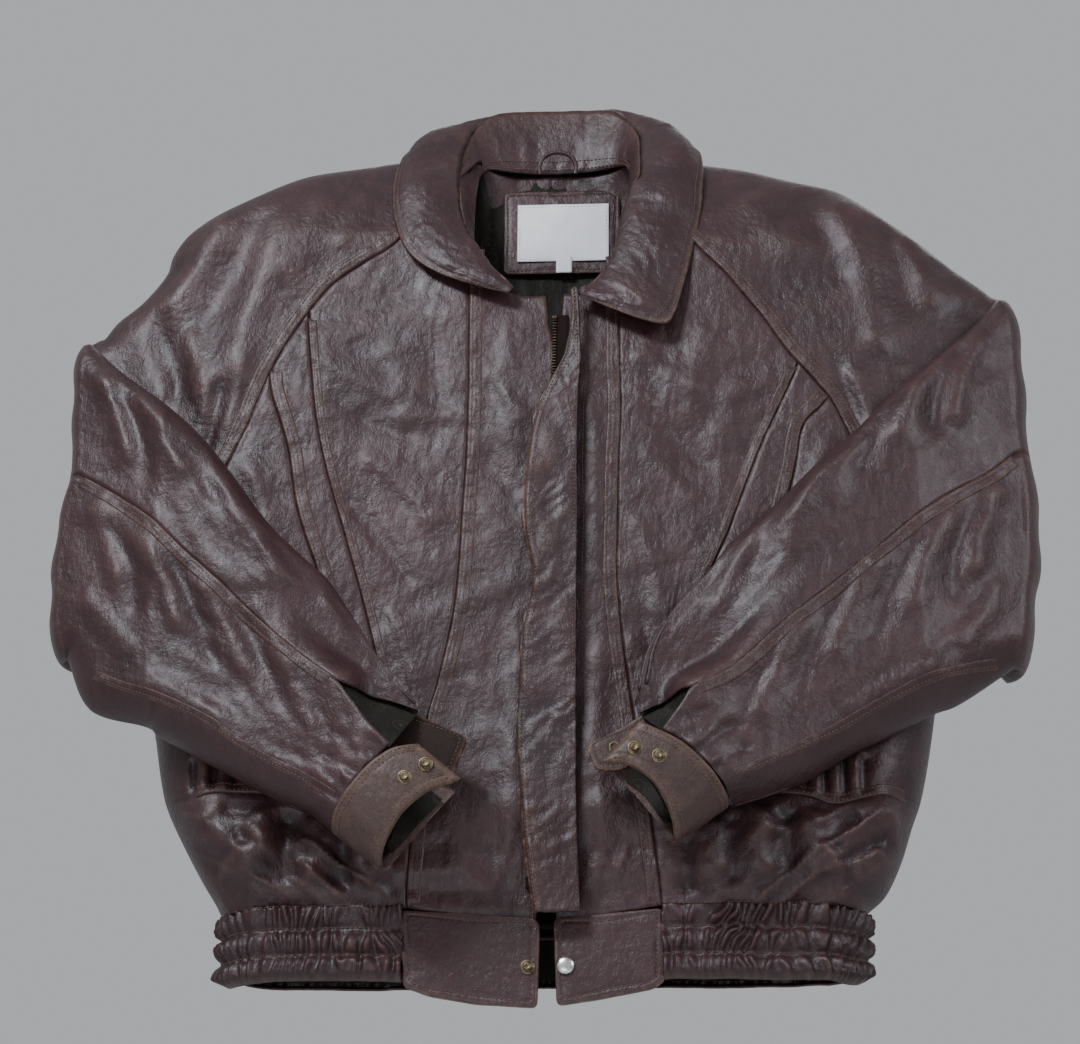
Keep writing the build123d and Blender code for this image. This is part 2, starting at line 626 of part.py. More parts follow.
casing_ring = waist_ring(WAIST_Z, HEM_Z, 0, WAIST_T)
slot_ring = waist_ring(WAIST_Z - 4, HEM_Z + 4, 2.3, 2.3 + ELASTIC_T + 0.4)
elastic_ring = waist_ring(WAIST_Z - 4.4, HEM_Z + 4.4, 2.5, 2.5 + ELASTIC_T)
casing_left_cut = slab([(-300, -640), (-109, -640), (-109, -730), (-300, -730)], -90, SPLIT_Y)
casing_right_cut = slab([(300, -640), (81, -640), (81, -730), (300, -730)], -90, SPLIT_Y)
casing_back_cut = slab([(-300, -640), (300, -640), (300, -730), (-300, -730)], SPLIT_Y + SEAM, 60)
slot_left_cut = slab([(-300, -640), (-113, -640), (-113, -730), (-300, -730)], -90, SPLIT_Y - 2)
slot_right_cut = slab([(300, -640), (85, -640), (85, -730), (300, -730)], -90, SPLIT_Y - 2)
slot_back_cut = slab([(-300, -640), (300, -640), (300, -730), (-300, -730)], SPLIT_Y + 3, 60)
for name, cut, slot_cut in (("waist_casing_left", casing_left_cut, slot_left_cut),
                            ("waist_casing_right", casing_right_cut, slot_right_cut),
                            ("waist_casing_back", casing_back_cut, slot_back_cut)):
    with BuildPart() as slot:
        add(slot_ring)
        add(slot_cut, mode=Mode.INTERSECT)
    with BuildPart() as casing:
        add(casing_ring)
        add(cut, mode=Mode.INTERSECT)
        add(slot.part, mode=Mode.SUBTRACT)
    save(casing, name)
cores = [slab([(-300, -640), (-113.4, -640), (-113.4, -730), (-300, -730)], -90, SPLIT_Y - 2.4),
         slab([(300, -640), (85.4, -640), (85.4, -730), (300, -730)], -90, SPLIT_Y - 2.4),
         slab([(-300, -640), (300, -640), (300, -730), (-300, -730)], SPLIT_Y + 3.4, 60)]
with BuildPart() as waist_elastic:
    for core in cores:
        add(core)
    add(elastic_ring, mode=Mode.INTERSECT)
save(waist_elastic, "waist_elastic")

# the two stiff front tabs, with the snap that closes them
TAB_FRONT_Y = -60.0
HEM_SNAP = (13.0, -706.0)
HEM_STUD = (-14.0, -707.0)
TAB_L = [(-108.6, -657), (-5, -657), (-4.6, -700), (-8, -733), (-62, -728), (-95, -721), (-108.6, -717)]
TAB_R = [(80.6, -657), (1, -657), (3, -700), (7, -735), (37, -729), (62, -723), (80.6, -717)]
for name, outline, (sx, sz) in (("waist_tab_left", TAB_L, HEM_STUD), ("waist_tab_right", TAB_R, HEM_SNAP)):
    with BuildPart() as tab:
        with BuildSketch(Plane.XZ.offset(-TAB_FRONT_Y - 4.5)):
            with BuildLine():
                Polyline(*outline, close=True)
            make_face()
            with Locations((sx, sz)):
                Circle(2.0, mode=Mode.SUBTRACT)
        extrude(amount=4.5)
    save(tab, name)

with BuildPart() as hem_snap_cap:                    # cap and its hollow post
    with BuildSketch(Plane(origin=(HEM_SNAP[0], TAB_FRONT_Y, HEM_SNAP[1]), x_dir=(1, 0, 0), z_dir=(0, -1, 0))):
        Circle(SNAP_R)
    extrude(amount=2.2)
    fillet(hem_snap_cap.edges().filter_by(GeomType.CIRCLE).group_by(Axis.Y)[0], 1.4)
    with BuildSketch(Plane(origin=(HEM_SNAP[0], TAB_FRONT_Y, HEM_SNAP[1]), x_dir=(1, 0, 0), z_dir=(0, 1, 0))):
        Circle(1.8)
    extrude(amount=4.5)
save(hem_snap_cap, "hem_snap_cap")

with BuildPart() as hem_snap_socket:                 # socket behind the right tab
    with BuildSketch(Plane(origin=(HEM_SNAP[0], TAB_FRONT_Y + 4.5, HEM_SNAP[1]), x_dir=(1, 0, 0), z_dir=(0, 1, 0))):
        Circle(6.0)
        Circle(1.9, mode=Mode.SUBTRACT)
    extrude(amount=2.6)
save(hem_snap_socket, "hem_snap_socket")

with BuildPart() as hem_snap_stud:                   # stud on the left tab
    with BuildSketch(Plane(origin=(HEM_STUD[0], TAB_FRONT_Y, HEM_STUD[1]), x_dir=(1, 0, 0), z_dir=(0, -1, 0))):
        Circle(6.0)
    extrude(amount=0.8)
    with BuildSketch(Plane(origin=(HEM_STUD[0], TAB_FRONT_Y - 0.8, HEM_STUD[1]), x_dir=(1, 0, 0), z_dir=(0, -1, 0))):
        Circle(2.6)
    extrude(amount=2.2)
    with BuildSketch(Plane(origin=(HEM_STUD[0], TAB_FRONT_Y, HEM_STUD[1]), x_dir=(1, 0, 0), z_dir=(0, 1, 0))):
        Circle(1.8)
    extrude(amount=4.5)
save(hem_snap_stud, "hem_snap_stud")

# ------------------------------------------------------------ shoulder pads
for side, sign, x0, x1 in (("left", -1, -150, -232), ("right", 1, 146, 222)):
    with BuildPart() as shoulder_pad:
        with BuildSketch(Plane(origin=(x0, -2, -56 if sign < 0 else -64), x_dir=(0, 1, 0), z_dir=(sign, 0, 0))):
            Ellipse(16, 7)
        with BuildSketch(Plane(origin=(x1, -2, -86 if sign < 0 else -98), x_dir=(0, 1, 0), z_dir=(sign, 0, 0))):
            Ellipse(17, 7)
        loft()
    save(shoulder_pad, f"shoulder_pad_{side}")
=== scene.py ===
"""Leather blouson: the looks. Lengths in the helpers are millimetres in the row frame, and go to metres when a mesh is made."""
import bpy, math
import numpy as np
from mathutils import Vector, Matrix


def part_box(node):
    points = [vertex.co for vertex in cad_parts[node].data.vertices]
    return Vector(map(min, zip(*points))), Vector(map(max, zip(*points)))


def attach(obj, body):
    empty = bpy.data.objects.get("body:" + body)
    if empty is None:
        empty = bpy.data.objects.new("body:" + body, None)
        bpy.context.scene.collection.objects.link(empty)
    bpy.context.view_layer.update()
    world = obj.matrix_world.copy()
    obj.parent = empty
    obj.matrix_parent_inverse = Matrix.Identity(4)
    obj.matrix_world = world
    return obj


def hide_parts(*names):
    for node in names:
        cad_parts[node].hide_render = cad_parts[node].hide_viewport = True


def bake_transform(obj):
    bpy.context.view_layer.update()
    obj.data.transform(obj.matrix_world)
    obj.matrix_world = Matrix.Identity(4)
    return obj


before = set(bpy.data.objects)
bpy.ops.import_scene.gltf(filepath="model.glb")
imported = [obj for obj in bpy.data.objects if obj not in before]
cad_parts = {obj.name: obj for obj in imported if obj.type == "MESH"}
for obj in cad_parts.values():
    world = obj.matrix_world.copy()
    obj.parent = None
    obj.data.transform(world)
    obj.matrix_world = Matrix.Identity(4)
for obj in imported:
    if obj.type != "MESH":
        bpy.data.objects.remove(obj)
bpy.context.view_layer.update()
MM = 0.001
A = np.array

# ------------------------------------------------------------------ camera
cam_data = bpy.data.cameras.new("camera")
cam = bpy.data.objects.new("camera", cam_data)
bpy.context.scene.collection.objects.link(cam)
cam_data.sensor_fit = "HORIZONTAL"
cam_data.sensor_width = 36.0
cam_data.lens = 36.0 * 2950.0 / 1080.0
cam_data.clip_start, cam_data.clip_end = 0.05, 60.0
cR, cU, cF = Vector((0.99849, 0.05438, 0.00771)), Vector((0.01469, -0.39968, 0.91654)), Vector((-0.05293, 0.91504, 0.39987))
rot = Matrix((cR.normalized(), cU.normalized(), (-cF).normalized())).transposed()
cam.matrix_world = Matrix.Translation(Vector((0.11034, -2.10590, -1.25507))) @ rot.to_4x4()
bpy.context.scene.camera = cam

# ----------------------------------------------------------------- outlines
SHOULDER_L = [(-62, -10), (-86.6, -9), (-128.9, -12), (-151.8, -16), (-180.6, -21), (-205.1, -27), (-226.9, -37), (-252.5, -52), (-278.9, -67.5), (-300.0, -84), (-311.9, -103.3), (-316.5, -122), (-333.4, -146), (-352, -163), (-362, -178)]
SHOULDER_R = [(58, -12), (80.7, -13), (120.0, -19.9), (155.9, -27.2), (190.6, -39.2), (225.1, -51.1), (248.0, -66.4), (268.9, -84.3), (293.6, -105.7), (317.9, -128.8), (336.8, -144.4), (348, -155)]
CREASE_L = [(-375, -190), (-376.3, -222), (-373.7, -269), (-371, -318), (-377.4, -342), (-380.9, -376), (-381.1, -426), (-377.0, -466)]
CREASE_R = [(360, -159), (363.4, -175), (364.4, -205), (364.9, -249), (364.6, -294), (368.0, -328), (369.8, -362), (367.8, -394), (363.7, -427), (355.8, -486)]
SIDE_L = [(-363, -460), (-346, -447), (-325, -430), (-304, -412), (-303.5, -440), (-304, -480), (-300.5, -512), (-298.3, -524.0), (-292.7, -554.1), (-286.9, -574.6), (-274.2, -600.4), (-259.2, -627.5), (-246.5, -648), (-240, -662)]
SIDE_R = [(342, -476), (328, -460), (306, -436), (289, -414), (289, -440), (289, -480), (286, -505), (279.0, -544.5), (272.7, -571.7), (266.0, -590.1), (256.9, -617.5), (245.0, -641.6), (231, -655), (228, -662)]
RAG_L = [(-78, -50), (-101, -84), (-126.7, -115.9), (-151.7, -133), (-173.4, -150), (-189.9, -171.8), (-205.4, -198.0), (-220.6, -230.0), (-230.3, -257.6), (-236, -276), (-251.7, -312.6), (-272, -352), (-304, -412)]
RAG_R = [(71, -52), (94, -94), (114.8, -124.0), (137.9, -151.3), (162.2, -184.5), (184.6, -220.6), (204.6, -246.0), (216.4, -262.5), (225.6, -283.0), (240, -318), (262, -362), (289, -414)]
PRIN_L = [(-64, -124), (-63.6, -186.6), (-63.2, -256.0), (-63.9, -304.4), (-66.0, -352.8), (-67.6, -393.1), (-71.2, -437.6), (-80.7, -487.6), (-88.6, -520.3), (-95.2, -583.6), (-100.7, -643.8), (-101, -662)]
PRIN_R = [(52, -132), (51.6, -175), (51.6, -222.0), (52.6, -267.6), (50.7, -314.0), (49.8, -360), (49.2, -409.5), (53.3, -458.5), (64.0, -539.3), (75.8, -617.7), (80.4, -662)]
DIAG_L = [(-219.3, -228), (-216, -250), (-201.6, -295.9), (-191.7, -349.0), (-172.7, -406.2), (-158, -460), (-146, -520), (-140, -578)]
DIAG2_L = [(-192, -176), (-181.9, -264.7), (-170.6, -317.6), (-155.0, -370.3), (-137.9, -431.0), (-126, -480), (-116, -540), (-112, -578)]
DIAG_R = [(190, -229), (187.1, -238.2), (158.0, -303.1), (134.1, -370.0), (117.6, -411.3), (104, -460), (98, -520), (96, -578)]
DIAG2_R = [(213, -258), (205, -268), (191.2, -285.1), (184.2, -321.1), (170, -380), (158, -440), (150, -520), (148, -578)]
HIP_L = [(-287.2, -573.6), (-276, -578.0), (-261.9, -579.8), (-242.7, -576.9), (-202.7, -578.1), (-150, -580), (-96, -584)]
HIP_R = [(270, -580), (260.8, -582.8), (244.2, -581.9), (225.2, -586.2), (205.6, -589.8), (181.2, -582.0), (130, -580), (70, -583)]
ARM_TOP_L = [(-371.0, -197.0), (-333.3, -232.8), (-295.1, -267.2), (-265.5, -296.8), (-239.9, -330.7), (-209.0, -374.9), (-180.6, -405.2), (-162.1, -423.7), (-142.6, -454.0), (-121.1, -489.2), (-98.1, -514.7)]
ARM_BOT_L = [(-374.3, -472.2), (-341.4, -509.7), (-297.0, -527.0), (-287.0, -535.2), (-258.1, -553.6), (-230.4, -570.3), (-194.2, -592.1), (-168.1, -605.3), (-151.8, -620.0)]
ARM_TOP_R = [(357.6, -168.3), (327.1, -204.0), (294.7, -236.4), (258.0, -272.1), (230.2, -303.3), (199.0, -334.1), (164.4, -372.6), (133.4, -402.5), (115.3, -427.4), (93.8, -452.8), (75.4, -484.9), (68.1, -517.5)]
ARM_BOT_R = [(353.9, -490.3), (300.9, -514.6), (280.2, -524.5), (244.2, -545.5), (221.8, -557.4), (187.9, -580.3), (160.4, -592.6), (133.3, -603.1)]
ARM_SEAM_L = [(-373, -317), (-360.9, -325.8), (-327.1, -349.0), (-296.0, -375.1), (-266.6, -404.9), (-237.8, -432.5), (-213.2, -458.2), (-178.6, -490.5), (-149.6, -514.7)]
ARM_SEAM_R = [(366, -304), (359.3, -312.1), (328.3, -339.0), (294.7, -363.5), (266.0, -387.8), (235.3, -415.7), (208.8, -439.5), (176.8, -466.7), (136.3, -507.1), (106.9, -524.4)]
ARM_LOW_L = [(-372.6, -462), (-340.6, -491.5), (-313.3, -506.7), (-278.2, -522.6), (-246.5, -539.8), (-220.6, -559.2), (-200.8, -572.0), (-173.3, -587.3), (-147.3, -605.9)]
ARM_LOW_R = [(352.8, -478), (300.6, -500.9), (278.5, -511.3), (249.9, -526.9), (221.6, -544.2), (193.0, -561.0), (154.7, -581.4), (134.3, -592.6)]


# ------------------------------------------------------------------ helpers
def sm(t):
    t = np.clip(t, 0, 1)
    return t * t * (3 - 2 * t)


def arc(t):
    t = np.clip(t, 0, 1)
    return np.sqrt(np.maximum(0, 1 - (1 - t) ** 2))


def curve(pts, n=None, step=None, k=12):
    """Catmull-Rom through the points, resampled evenly by length to n points."""
    P = A(pts, float)
    Q = np.vstack([2 * P[0] - P[1], P, 2 * P[-1] - P[-2]])
    out = []
    for i in range(len(P) - 1):
        p0, p1, p2, p3 = Q[i], Q[i + 1], Q[i + 2], Q[i + 3]
        for t in np.linspace(0, 1, k, endpoint=False):
            out.append(0.5 * ((2 * p1) + (-p0 + p2) * t + (2 * p0 - 5 * p1 + 4 * p2 - p3) * t * t + (-p0 + 3 * p1 - 3 * p2 + p3) * t ** 3))
    out.append(P[-1])
    D = A(out)
    L = np.r_[0, np.cumsum(np.linalg.norm(np.diff(D, axis=0), axis=1))]
    if n is None:
        n = max(2, int(round(L[-1] / step)) + 1)
    u = np.linspace(0, L[-1], n)
    return np.stack([np.interp(u, L, D[:, c]) for c in range(D.shape[1])], 1)


def length(P):
    return float(np.linalg.norm(np.diff(A(P), axis=0), axis=1).sum())


def pdist(X, Z, poly):
    """Distance to a polyline, place along it from 0 to 1, and the side."""
    P = A(poly, float)
    seg = np.linalg.norm(np.diff(P, axis=0), axis=1)
    cum = np.r_[0, np.cumsum(seg)]
    best = np.full(np.shape(X), 1e9)
    pos = np.zeros_like(best)
    side = np.ones_like(best)
    for i in range(len(P) - 1):
        a, d = P[i], P[i + 1] - P[i]
        t = np.clip(((X - a[0]) * d[0] + (Z - a[1]) * d[1]) / max(d @ d, 1e-9), 0, 1)
        qx, qz = X - (a[0] + t * d[0]), Z - (a[1] + t * d[1])
        r = np.hypot(qx, qz)
        m = r < best
        best = np.where(m, r, best)
        pos = np.where(m, (cum[i] + t * seg[i]) / cum[-1], pos)
        side = np.where(m, np.sign(d[0] * qz - d[1] * qx), side)
    return best, pos, side


_lat = {}
_dense = {}


def edge_dist(X, Z, which):
    """Distance to a silhouette line, as the smooth curve that the sheets end on."""
    if which not in _dense:
        _dense[which] = curve({"sl": SHOULDER_L, "sr": SHOULDER_R, "el": SIDE_L, "er": SIDE_R}[which], 170)
    return pdist(X, Z, _dense[which])[0]



def vnoise(x, z, seed=0):
    """Smooth value noise, -1 to 1, one cell per unit."""
    if seed not in _lat:
        _lat[seed] = np.random.default_rng(1000 + seed).uniform(-1, 1, (256, 256))
    T = _lat[seed]
    xi, zi = np.floor(x).astype(int), np.floor(z).astype(int)
    fx, fz = x - xi, z - zi
    fx, fz = fx * fx * fx * (fx * (fx * 6 - 15) + 10), fz * fz * fz * (fz * (fz * 6 - 15) + 10)
    a, b = T[xi % 256, zi % 256], T[(xi + 1) % 256, zi % 256]
    c, d = T[xi % 256, (zi + 1) % 256], T[(xi + 1) % 256, (zi + 1) % 256]
    return (a * (1 - fx) + b * fx) * (1 - fz) + (c * (1 - fx) + d * fx) * fz


def fbm(x, z, seed=0, octaves=4, gain=0.5):
    s, amp, tot = 0.0, 1.0, 0.0
    for o in range(octaves):
        s = s + amp * vnoise(x * 2 ** o + 17.3 * o, z * 2 ** o - 9.1 * o, seed + o)
        tot += amp
        amp *= gain
    return s / tot


def ridged(x, z, seed=0, octaves=3):
    s, amp, tot = 0.0, 1.0, 0.0
    for o in range(octaves):
        s = s + amp * (1 - np.abs(vnoise(x * 2 ** o, z * 2 ** o, seed + o))) ** 3
        tot += amp
        amp *= 0.5
    return s / tot


def turned(X, Z, deg, across, along, seed):
    """Coordinates for streaks that run along the direction deg, with a little wander."""
    c, s = math.cos(math.radians(deg)), math.sin(math.radians(deg))
    w = 14 * vnoise(X / 60, Z / 60, seed + 50)
    u, v = (X * c + Z * s), (-X * s + Z * c) + w
    return u / along, v / across


def stroke(X, Z, pts, width, height, lean=0.0, ends=0.18):
    """A fold: a ridge (height over 0) or a valley along a line, fading at its ends, steeper on one side."""
    lo, hi = A(pts).min(0) - 3 * width, A(pts).max(0) + 3 * width
    m = (X > lo[0]) & (X < hi[0]) & (Z > lo[1]) & (Z < hi[1])
    out = np.zeros(np.shape(X))
    if not m.any():
        return out
    d, p, s = pdist(X[m], Z[m], curve(pts, 14) if len(pts) > 2 else pts)
    w = width * (1 + lean * s)
    fade = sm(p / ends) * sm((1 - p) / ends)
    out[m] = height * fade * np.exp(-(d / w) ** 2)
    return out


def mesh(name, verts, faces, mat=None, smooth=True, attrs=None):
    me = bpy.data.meshes.new(name)
    me.from_pydata([tuple(v) for v in (A(verts) * MM)], [], [tuple(int(i) for i in f) for f in faces])
    me.validate()
    if smooth:
        me.polygons.foreach_set("use_smooth", [True] * len(me.polygons))
    for k, val in (attrs or {}).items():
        at = me.attributes.new(k, "FLOAT", "POINT")
        at.data.foreach_set("value", np.clip(A(val, float).ravel(), 0, 1))
    ob = bpy.data.objects.new(name, me)
    bpy.context.scene.collection.objects.link(ob)
    if mat is not None:
        me.materials.append(mat)
    return ob


def grid_faces(n, m, wrap_m=False, flip=False, base=0):
    i, j = np.meshgrid(np.arange(n - 1), np.arange(m if wrap_m else m - 1), indexing="ij")
    j2 = (j + 1) % m
    q = np.stack([i * m + j, (i + 1) * m + j, (i + 1) * m + j2, i * m + j2], -1).reshape(-1, 4) + base
    return q[:, ::-1] if flip else q


def solidify(ob, t, offset=-1.0, rim=True):
    mo = ob.modifiers.new("thick", "SOLIDIFY")
    mo.thickness, mo.offset, mo.use_rim = t * MM, offset, rim
    mo.use_even_offset = False
    return ob


def coons(top, bot, left, right, n, m):
    """n rows from top to bottom, m columns from left to right, as an (n, m, 2 or 3) grid."""
    T, B, L, R = curve(top, m), curve(bot, m), curve(left, n), curve(right, n)
    s, t = np.linspace(0, 1, m)[None, :, None], np.linspace(0, 1, n)[:, None, None]
    P = (1 - t) * T[None] + t * B[None] + (1 - s) * L[:, None] + s * R[:, None]
    P = P - ((1 - s) * (1 - t) * T[0] + s * (1 - t) * T[-1] + (1 - s) * t * B[0] + s * t * B[-1])
    return P


# ---------------------------------------------------------------- materials
def nodes_of(mat):
    mat.use_nodes = True
    nt = mat.node_tree
    bsdf = nt.nodes["Principled BSDF"]
    return nt, bsdf


def add(nt, kind, **kw):
    nd = nt.nodes.new(kind)
    for k, v in kw.items():
        if k in nd.inputs:
            nd.inputs[k].default_value = v
        else:
            setattr(nd, k, v)
    return nd


def ramp(nt, src, stops):
    r = nt.nodes.new("ShaderNodeValToRGB")
    el = r.color_ramp.elements
    while len(el) > 1:
        el.remove(el[-1])
    el[0].position, el[0].color = stops[0][0], (*stops[0][1], 1) if len(stops[0][1]) == 3 else stops[0][1]
    for p, c in stops[1:]:
        e = el.new(p)
        e.color = (*c, 1) if len(c) == 3 else c
    nt.links.new(src, r.inputs[0])
    return r.outputs[0]


def mixc(nt, fac, a, b, blend="MIX"):
    m = nt.nodes.new("ShaderNodeMix")
    m.data_type = "RGBA"
    m.blend_type = blend
    for val, sock in ((fac, m.inputs[0]), (a, m.inputs[6]), (b, m.inputs[7])):
        if hasattr(val, "is_linked"):
            nt.links.new(val, sock)
        else:
            sock.default_value = val if isinstance(val, float) else (*val, 1)
    return m.outputs[2]


def fmath(nt, op, a, b=None, clamp=False):
    m = nt.nodes.new("ShaderNodeMath")
    m.operation, m.use_clamp = op, clamp
    for i, v in enumerate((a, b)):
        if v is None:
            continue
        if hasattr(v, "is_linked"):
            nt.links.new(v, m.inputs[i])
        else:
            m.inputs[i].default_value = v
    return m.outputs[0]


def leather(name, dark, mid, light, rough=(0.36, 0.56), grain=1.0, crease=1.0, coat=0.12, spec=0.36):
    mat = bpy.data.materials.new(name)
    nt, b = nodes_of(mat)
    co = add(nt, "ShaderNodeTexCoord").outputs["Object"]

    def noise(scale, detail=4.0, rough_=0.55, dist=0.0):
        nd = add(nt, "ShaderNodeTexNoise", Scale=scale, Detail=detail, Roughness=rough_, Distortion=dist)
        nt.links.new(co, nd.inputs["Vector"])
        return nd.outputs["Fac"]

    big, mid_n, fine = noise(9.0, 3.0), noise(46.0, 5.0, 0.6, 0.6), noise(420.0, 3.0, 0.6)
    base = ramp(nt, big, [(0.30, dark), (0.52, mid), (0.74, light)])
    base = mixc(nt, 0.55, base, ramp(nt, mid_n, [(0.28, tuple(c * 0.62 for c in mid)), (0.55, mid), (0.8, tuple(c * 1.5 for c in mid))]))
    # pebbled grain
    vor = add(nt, "ShaderNodeTexVoronoi", Scale=560.0, Randomness=1.0)
    nt.links.new(co, vor.inputs["Vector"])
    cell = vor.outputs["Distance"]
    vor2 = add(nt, "ShaderNodeTexVoronoi", Scale=210.0, Randomness=1.0)
    vor2.feature = "SMOOTH_F1"
    nt.links.new(co, vor2.inputs["Vector"])
    cell2 = vor2.outputs["Distance"]
    pits = ramp(nt, cell, [(0.0, (1, 1, 1)), (0.55, (0.86, 0.86, 0.86)), (1.0, (0.6, 0.58, 0.57))])
    base = mixc(nt, 0.75, base, pits, "MULTIPLY")
    # tan wear on edges, and painted shade in the hollows
    wear = add(nt, "ShaderNodeAttribute", attribute_name="wear").outputs["Fac"]
    painted_shade = add(nt, "ShaderNodeAttribute", attribute_name="painted_shade").outputs["Fac"]
    wn = ramp(nt, noise(150.0, 5.0, 0.7), [(0.32, (0.1, 0.1, 0.1)), (0.62, (1, 1, 1))])
    wm = fmath(nt, "MULTIPLY", wear, wn, True)
    base = mixc(nt, fmath(nt, "MULTIPLY", wm, 0.92), base, (0.120, 0.066, 0.044))
    hard = fmath(nt, "MULTIPLY", fmath(nt, "SUBTRACT", wm, 0.62, True), 2.2, True)
    base = mixc(nt, hard, base, (0.265, 0.165, 0.112))
    rub = fmath(nt, "MULTIPLY", fmath(nt, "SUBTRACT", noise(26.0, 6.0, 0.65, 0.4), 0.56, True), 1.2, True)
    base = mixc(nt, rub, base, tuple(c * 1.9 for c in light))
    # painted shade: the hollows and creases are darkened toward a near-black brown
    base = mixc(nt, fmath(nt, "MULTIPLY", painted_shade, 0.75), base, tuple(c * 0.22 for c in dark))
    nt.links.new(base, b.inputs["Base Color"])
    rr = fmath(nt, "ADD", fmath(nt, "MULTIPLY", mid_n, (rough[1] - rough[0]) * 1.6), rough[0] - 0.3 * (rough[1] - rough[0]))
    rr = fmath(nt, "ADD", rr, fmath(nt, "MULTIPLY", cell, 0.10))
    nt.links.new(rr, b.inputs["Roughness"])
    b.inputs["Specular IOR Level"].default_value = spec
    b.inputs["Coat Weight"].default_value = coat
    b.inputs["Coat Roughness"].default_value = 0.3
    # bump: long creases, short wrinkles, pebbles, pores
    mp = add(nt, "ShaderNodeMapping")
    mp.inputs["Scale"].default_value = (1.0, 1.0, 0.45)
    nt.links.new(co, mp.inputs["Vector"])
    cn = add(nt, "ShaderNodeTexNoise", Scale=120.0, Detail=5.0, Roughness=0.62, Distortion=0.9)
    nt.links.new(mp.outputs[0], cn.inputs["Vector"])
    cr = ramp(nt, cn.outputs["Fac"], [(0.36, (0, 0, 0)), (0.5, (1, 1, 1)), (0.64, (0, 0, 0))])
    b1 = add(nt, "ShaderNodeBump", Strength=0.28 * crease, Distance=0.0008)
    nt.links.new(cr, b1.inputs["Height"])
    b2 = add(nt, "ShaderNodeBump", Strength=0.50 * grain, Distance=0.0009)
    nt.links.new(cell2, b2.inputs["Height"])
    nt.links.new(b1.outputs[0], b2.inputs["Normal"])
    b3 = add(nt, "ShaderNodeBump", Strength=0.45 * grain, Distance=0.00035)
    b3.invert = True
    nt.links.new(cell, b3.inputs["Height"])
    nt.links.new(b2.outputs[0], b3.inputs["Normal"])
    b4 = add(nt, "ShaderNodeBump", Strength=0.25 * grain, Distance=0.0002)
    nt.links.new(fine, b4.inputs["Height"])
    nt.links.new(b3.outputs[0], b4.inputs["Normal"])
    nt.links.new(b4.outputs[0], b.inputs["Normal"])
    return mat


def cloth(name, dark, light, scale=1400.0, rough=0.55, motif=None, sheen=0.15, spec=0.4):
    mat = bpy.data.materials.new(name)
    nt, b = nodes_of(mat)
    co = add(nt, "ShaderNodeTexCoord").outputs["Object"]
    sep = add(nt, "ShaderNodeSeparateXYZ")
    nt.links.new(co, sep.inputs[0])
    wx = fmath(nt, "SINE", fmath(nt, "MULTIPLY", sep.outputs["X"], scale * 2.2))
    wz = fmath(nt, "SINE", fmath(nt, "MULTIPLY", sep.outputs["Z"], scale * 2.2))
    weave = fmath(nt, "MULTIPLY", fmath(nt, "ADD", wx, wz), 0.25)
    weave = fmath(nt, "ADD", weave, 0.5)
    nz = add(nt, "ShaderNodeTexNoise", Scale=30.0, Detail=5.0, Roughness=0.6)
    nt.links.new(co, nz.inputs["Vector"])
    base = ramp(nt, nz.outputs["Fac"], [(0.3, dark), (0.7, light)])
    if motif:
        v = add(nt, "ShaderNodeTexVoronoi", Scale=motif[0], Randomness=0.8)
        nt.links.new(co, v.inputs["Vector"])
        mk = ramp(nt, v.outputs["Distance"], [(0.10, (1, 1, 1)), (0.16, (0, 0, 0)), (0.30, (0, 0, 0)), (0.36, (0.8, 0.8, 0.8)), (0.42, (0, 0, 0))])
        base = mixc(nt, mk, base, motif[1])
    base = mixc(nt, 0.5, base, ramp(nt, weave, [(0.0, (0.6, 0.6, 0.6)), (1.0, (1, 1, 1))]), "MULTIPLY")
    nt.links.new(base, b.inputs["Base Color"])
    b.inputs["Roughness"].default_value = rough
    b.inputs["Sheen Weight"].default_value = sheen
    b.inputs["Specular IOR Level"].default_value = spec
    bp = add(nt, "ShaderNodeBump", Strength=0.35, Distance=0.0003)
    nt.links.new(weave, bp.inputs["Height"])
    nt.links.new(bp.outputs[0], b.inputs["Normal"])
    return mat


def metal(name, col, dark, rough=0.32):
    mat = bpy.data.materials.new(name)
    nt, b = nodes_of(mat)
    co = add(nt, "ShaderNodeTexCoord").outputs["Object"]
    n1 = add(nt, "ShaderNodeTexNoise", Scale=380.0, Detail=6.0, Roughness=0.7)
    nt.links.new(co, n1.inputs["Vector"])
    base = ramp(nt, n1.outputs["Fac"], [(0.35, dark), (0.6, col)])
    nt.links.new(base, b.inputs["Base Color"])
    b.inputs["Metallic"].default_value = 1.0
    nt.links.new(fmath(nt, "ADD", fmath(nt, "MULTIPLY", n1.outputs["Fac"], 0.25), rough - 0.1), b.inputs["Roughness"])
    bp = add(nt, "ShaderNodeBump", Strength=0.2, Distance=0.0002)
    nt.links.new(n1.outputs["Fac"], bp.inputs["Height"])
    nt.links.new(bp.outputs[0], b.inputs["Normal"])
    return mat


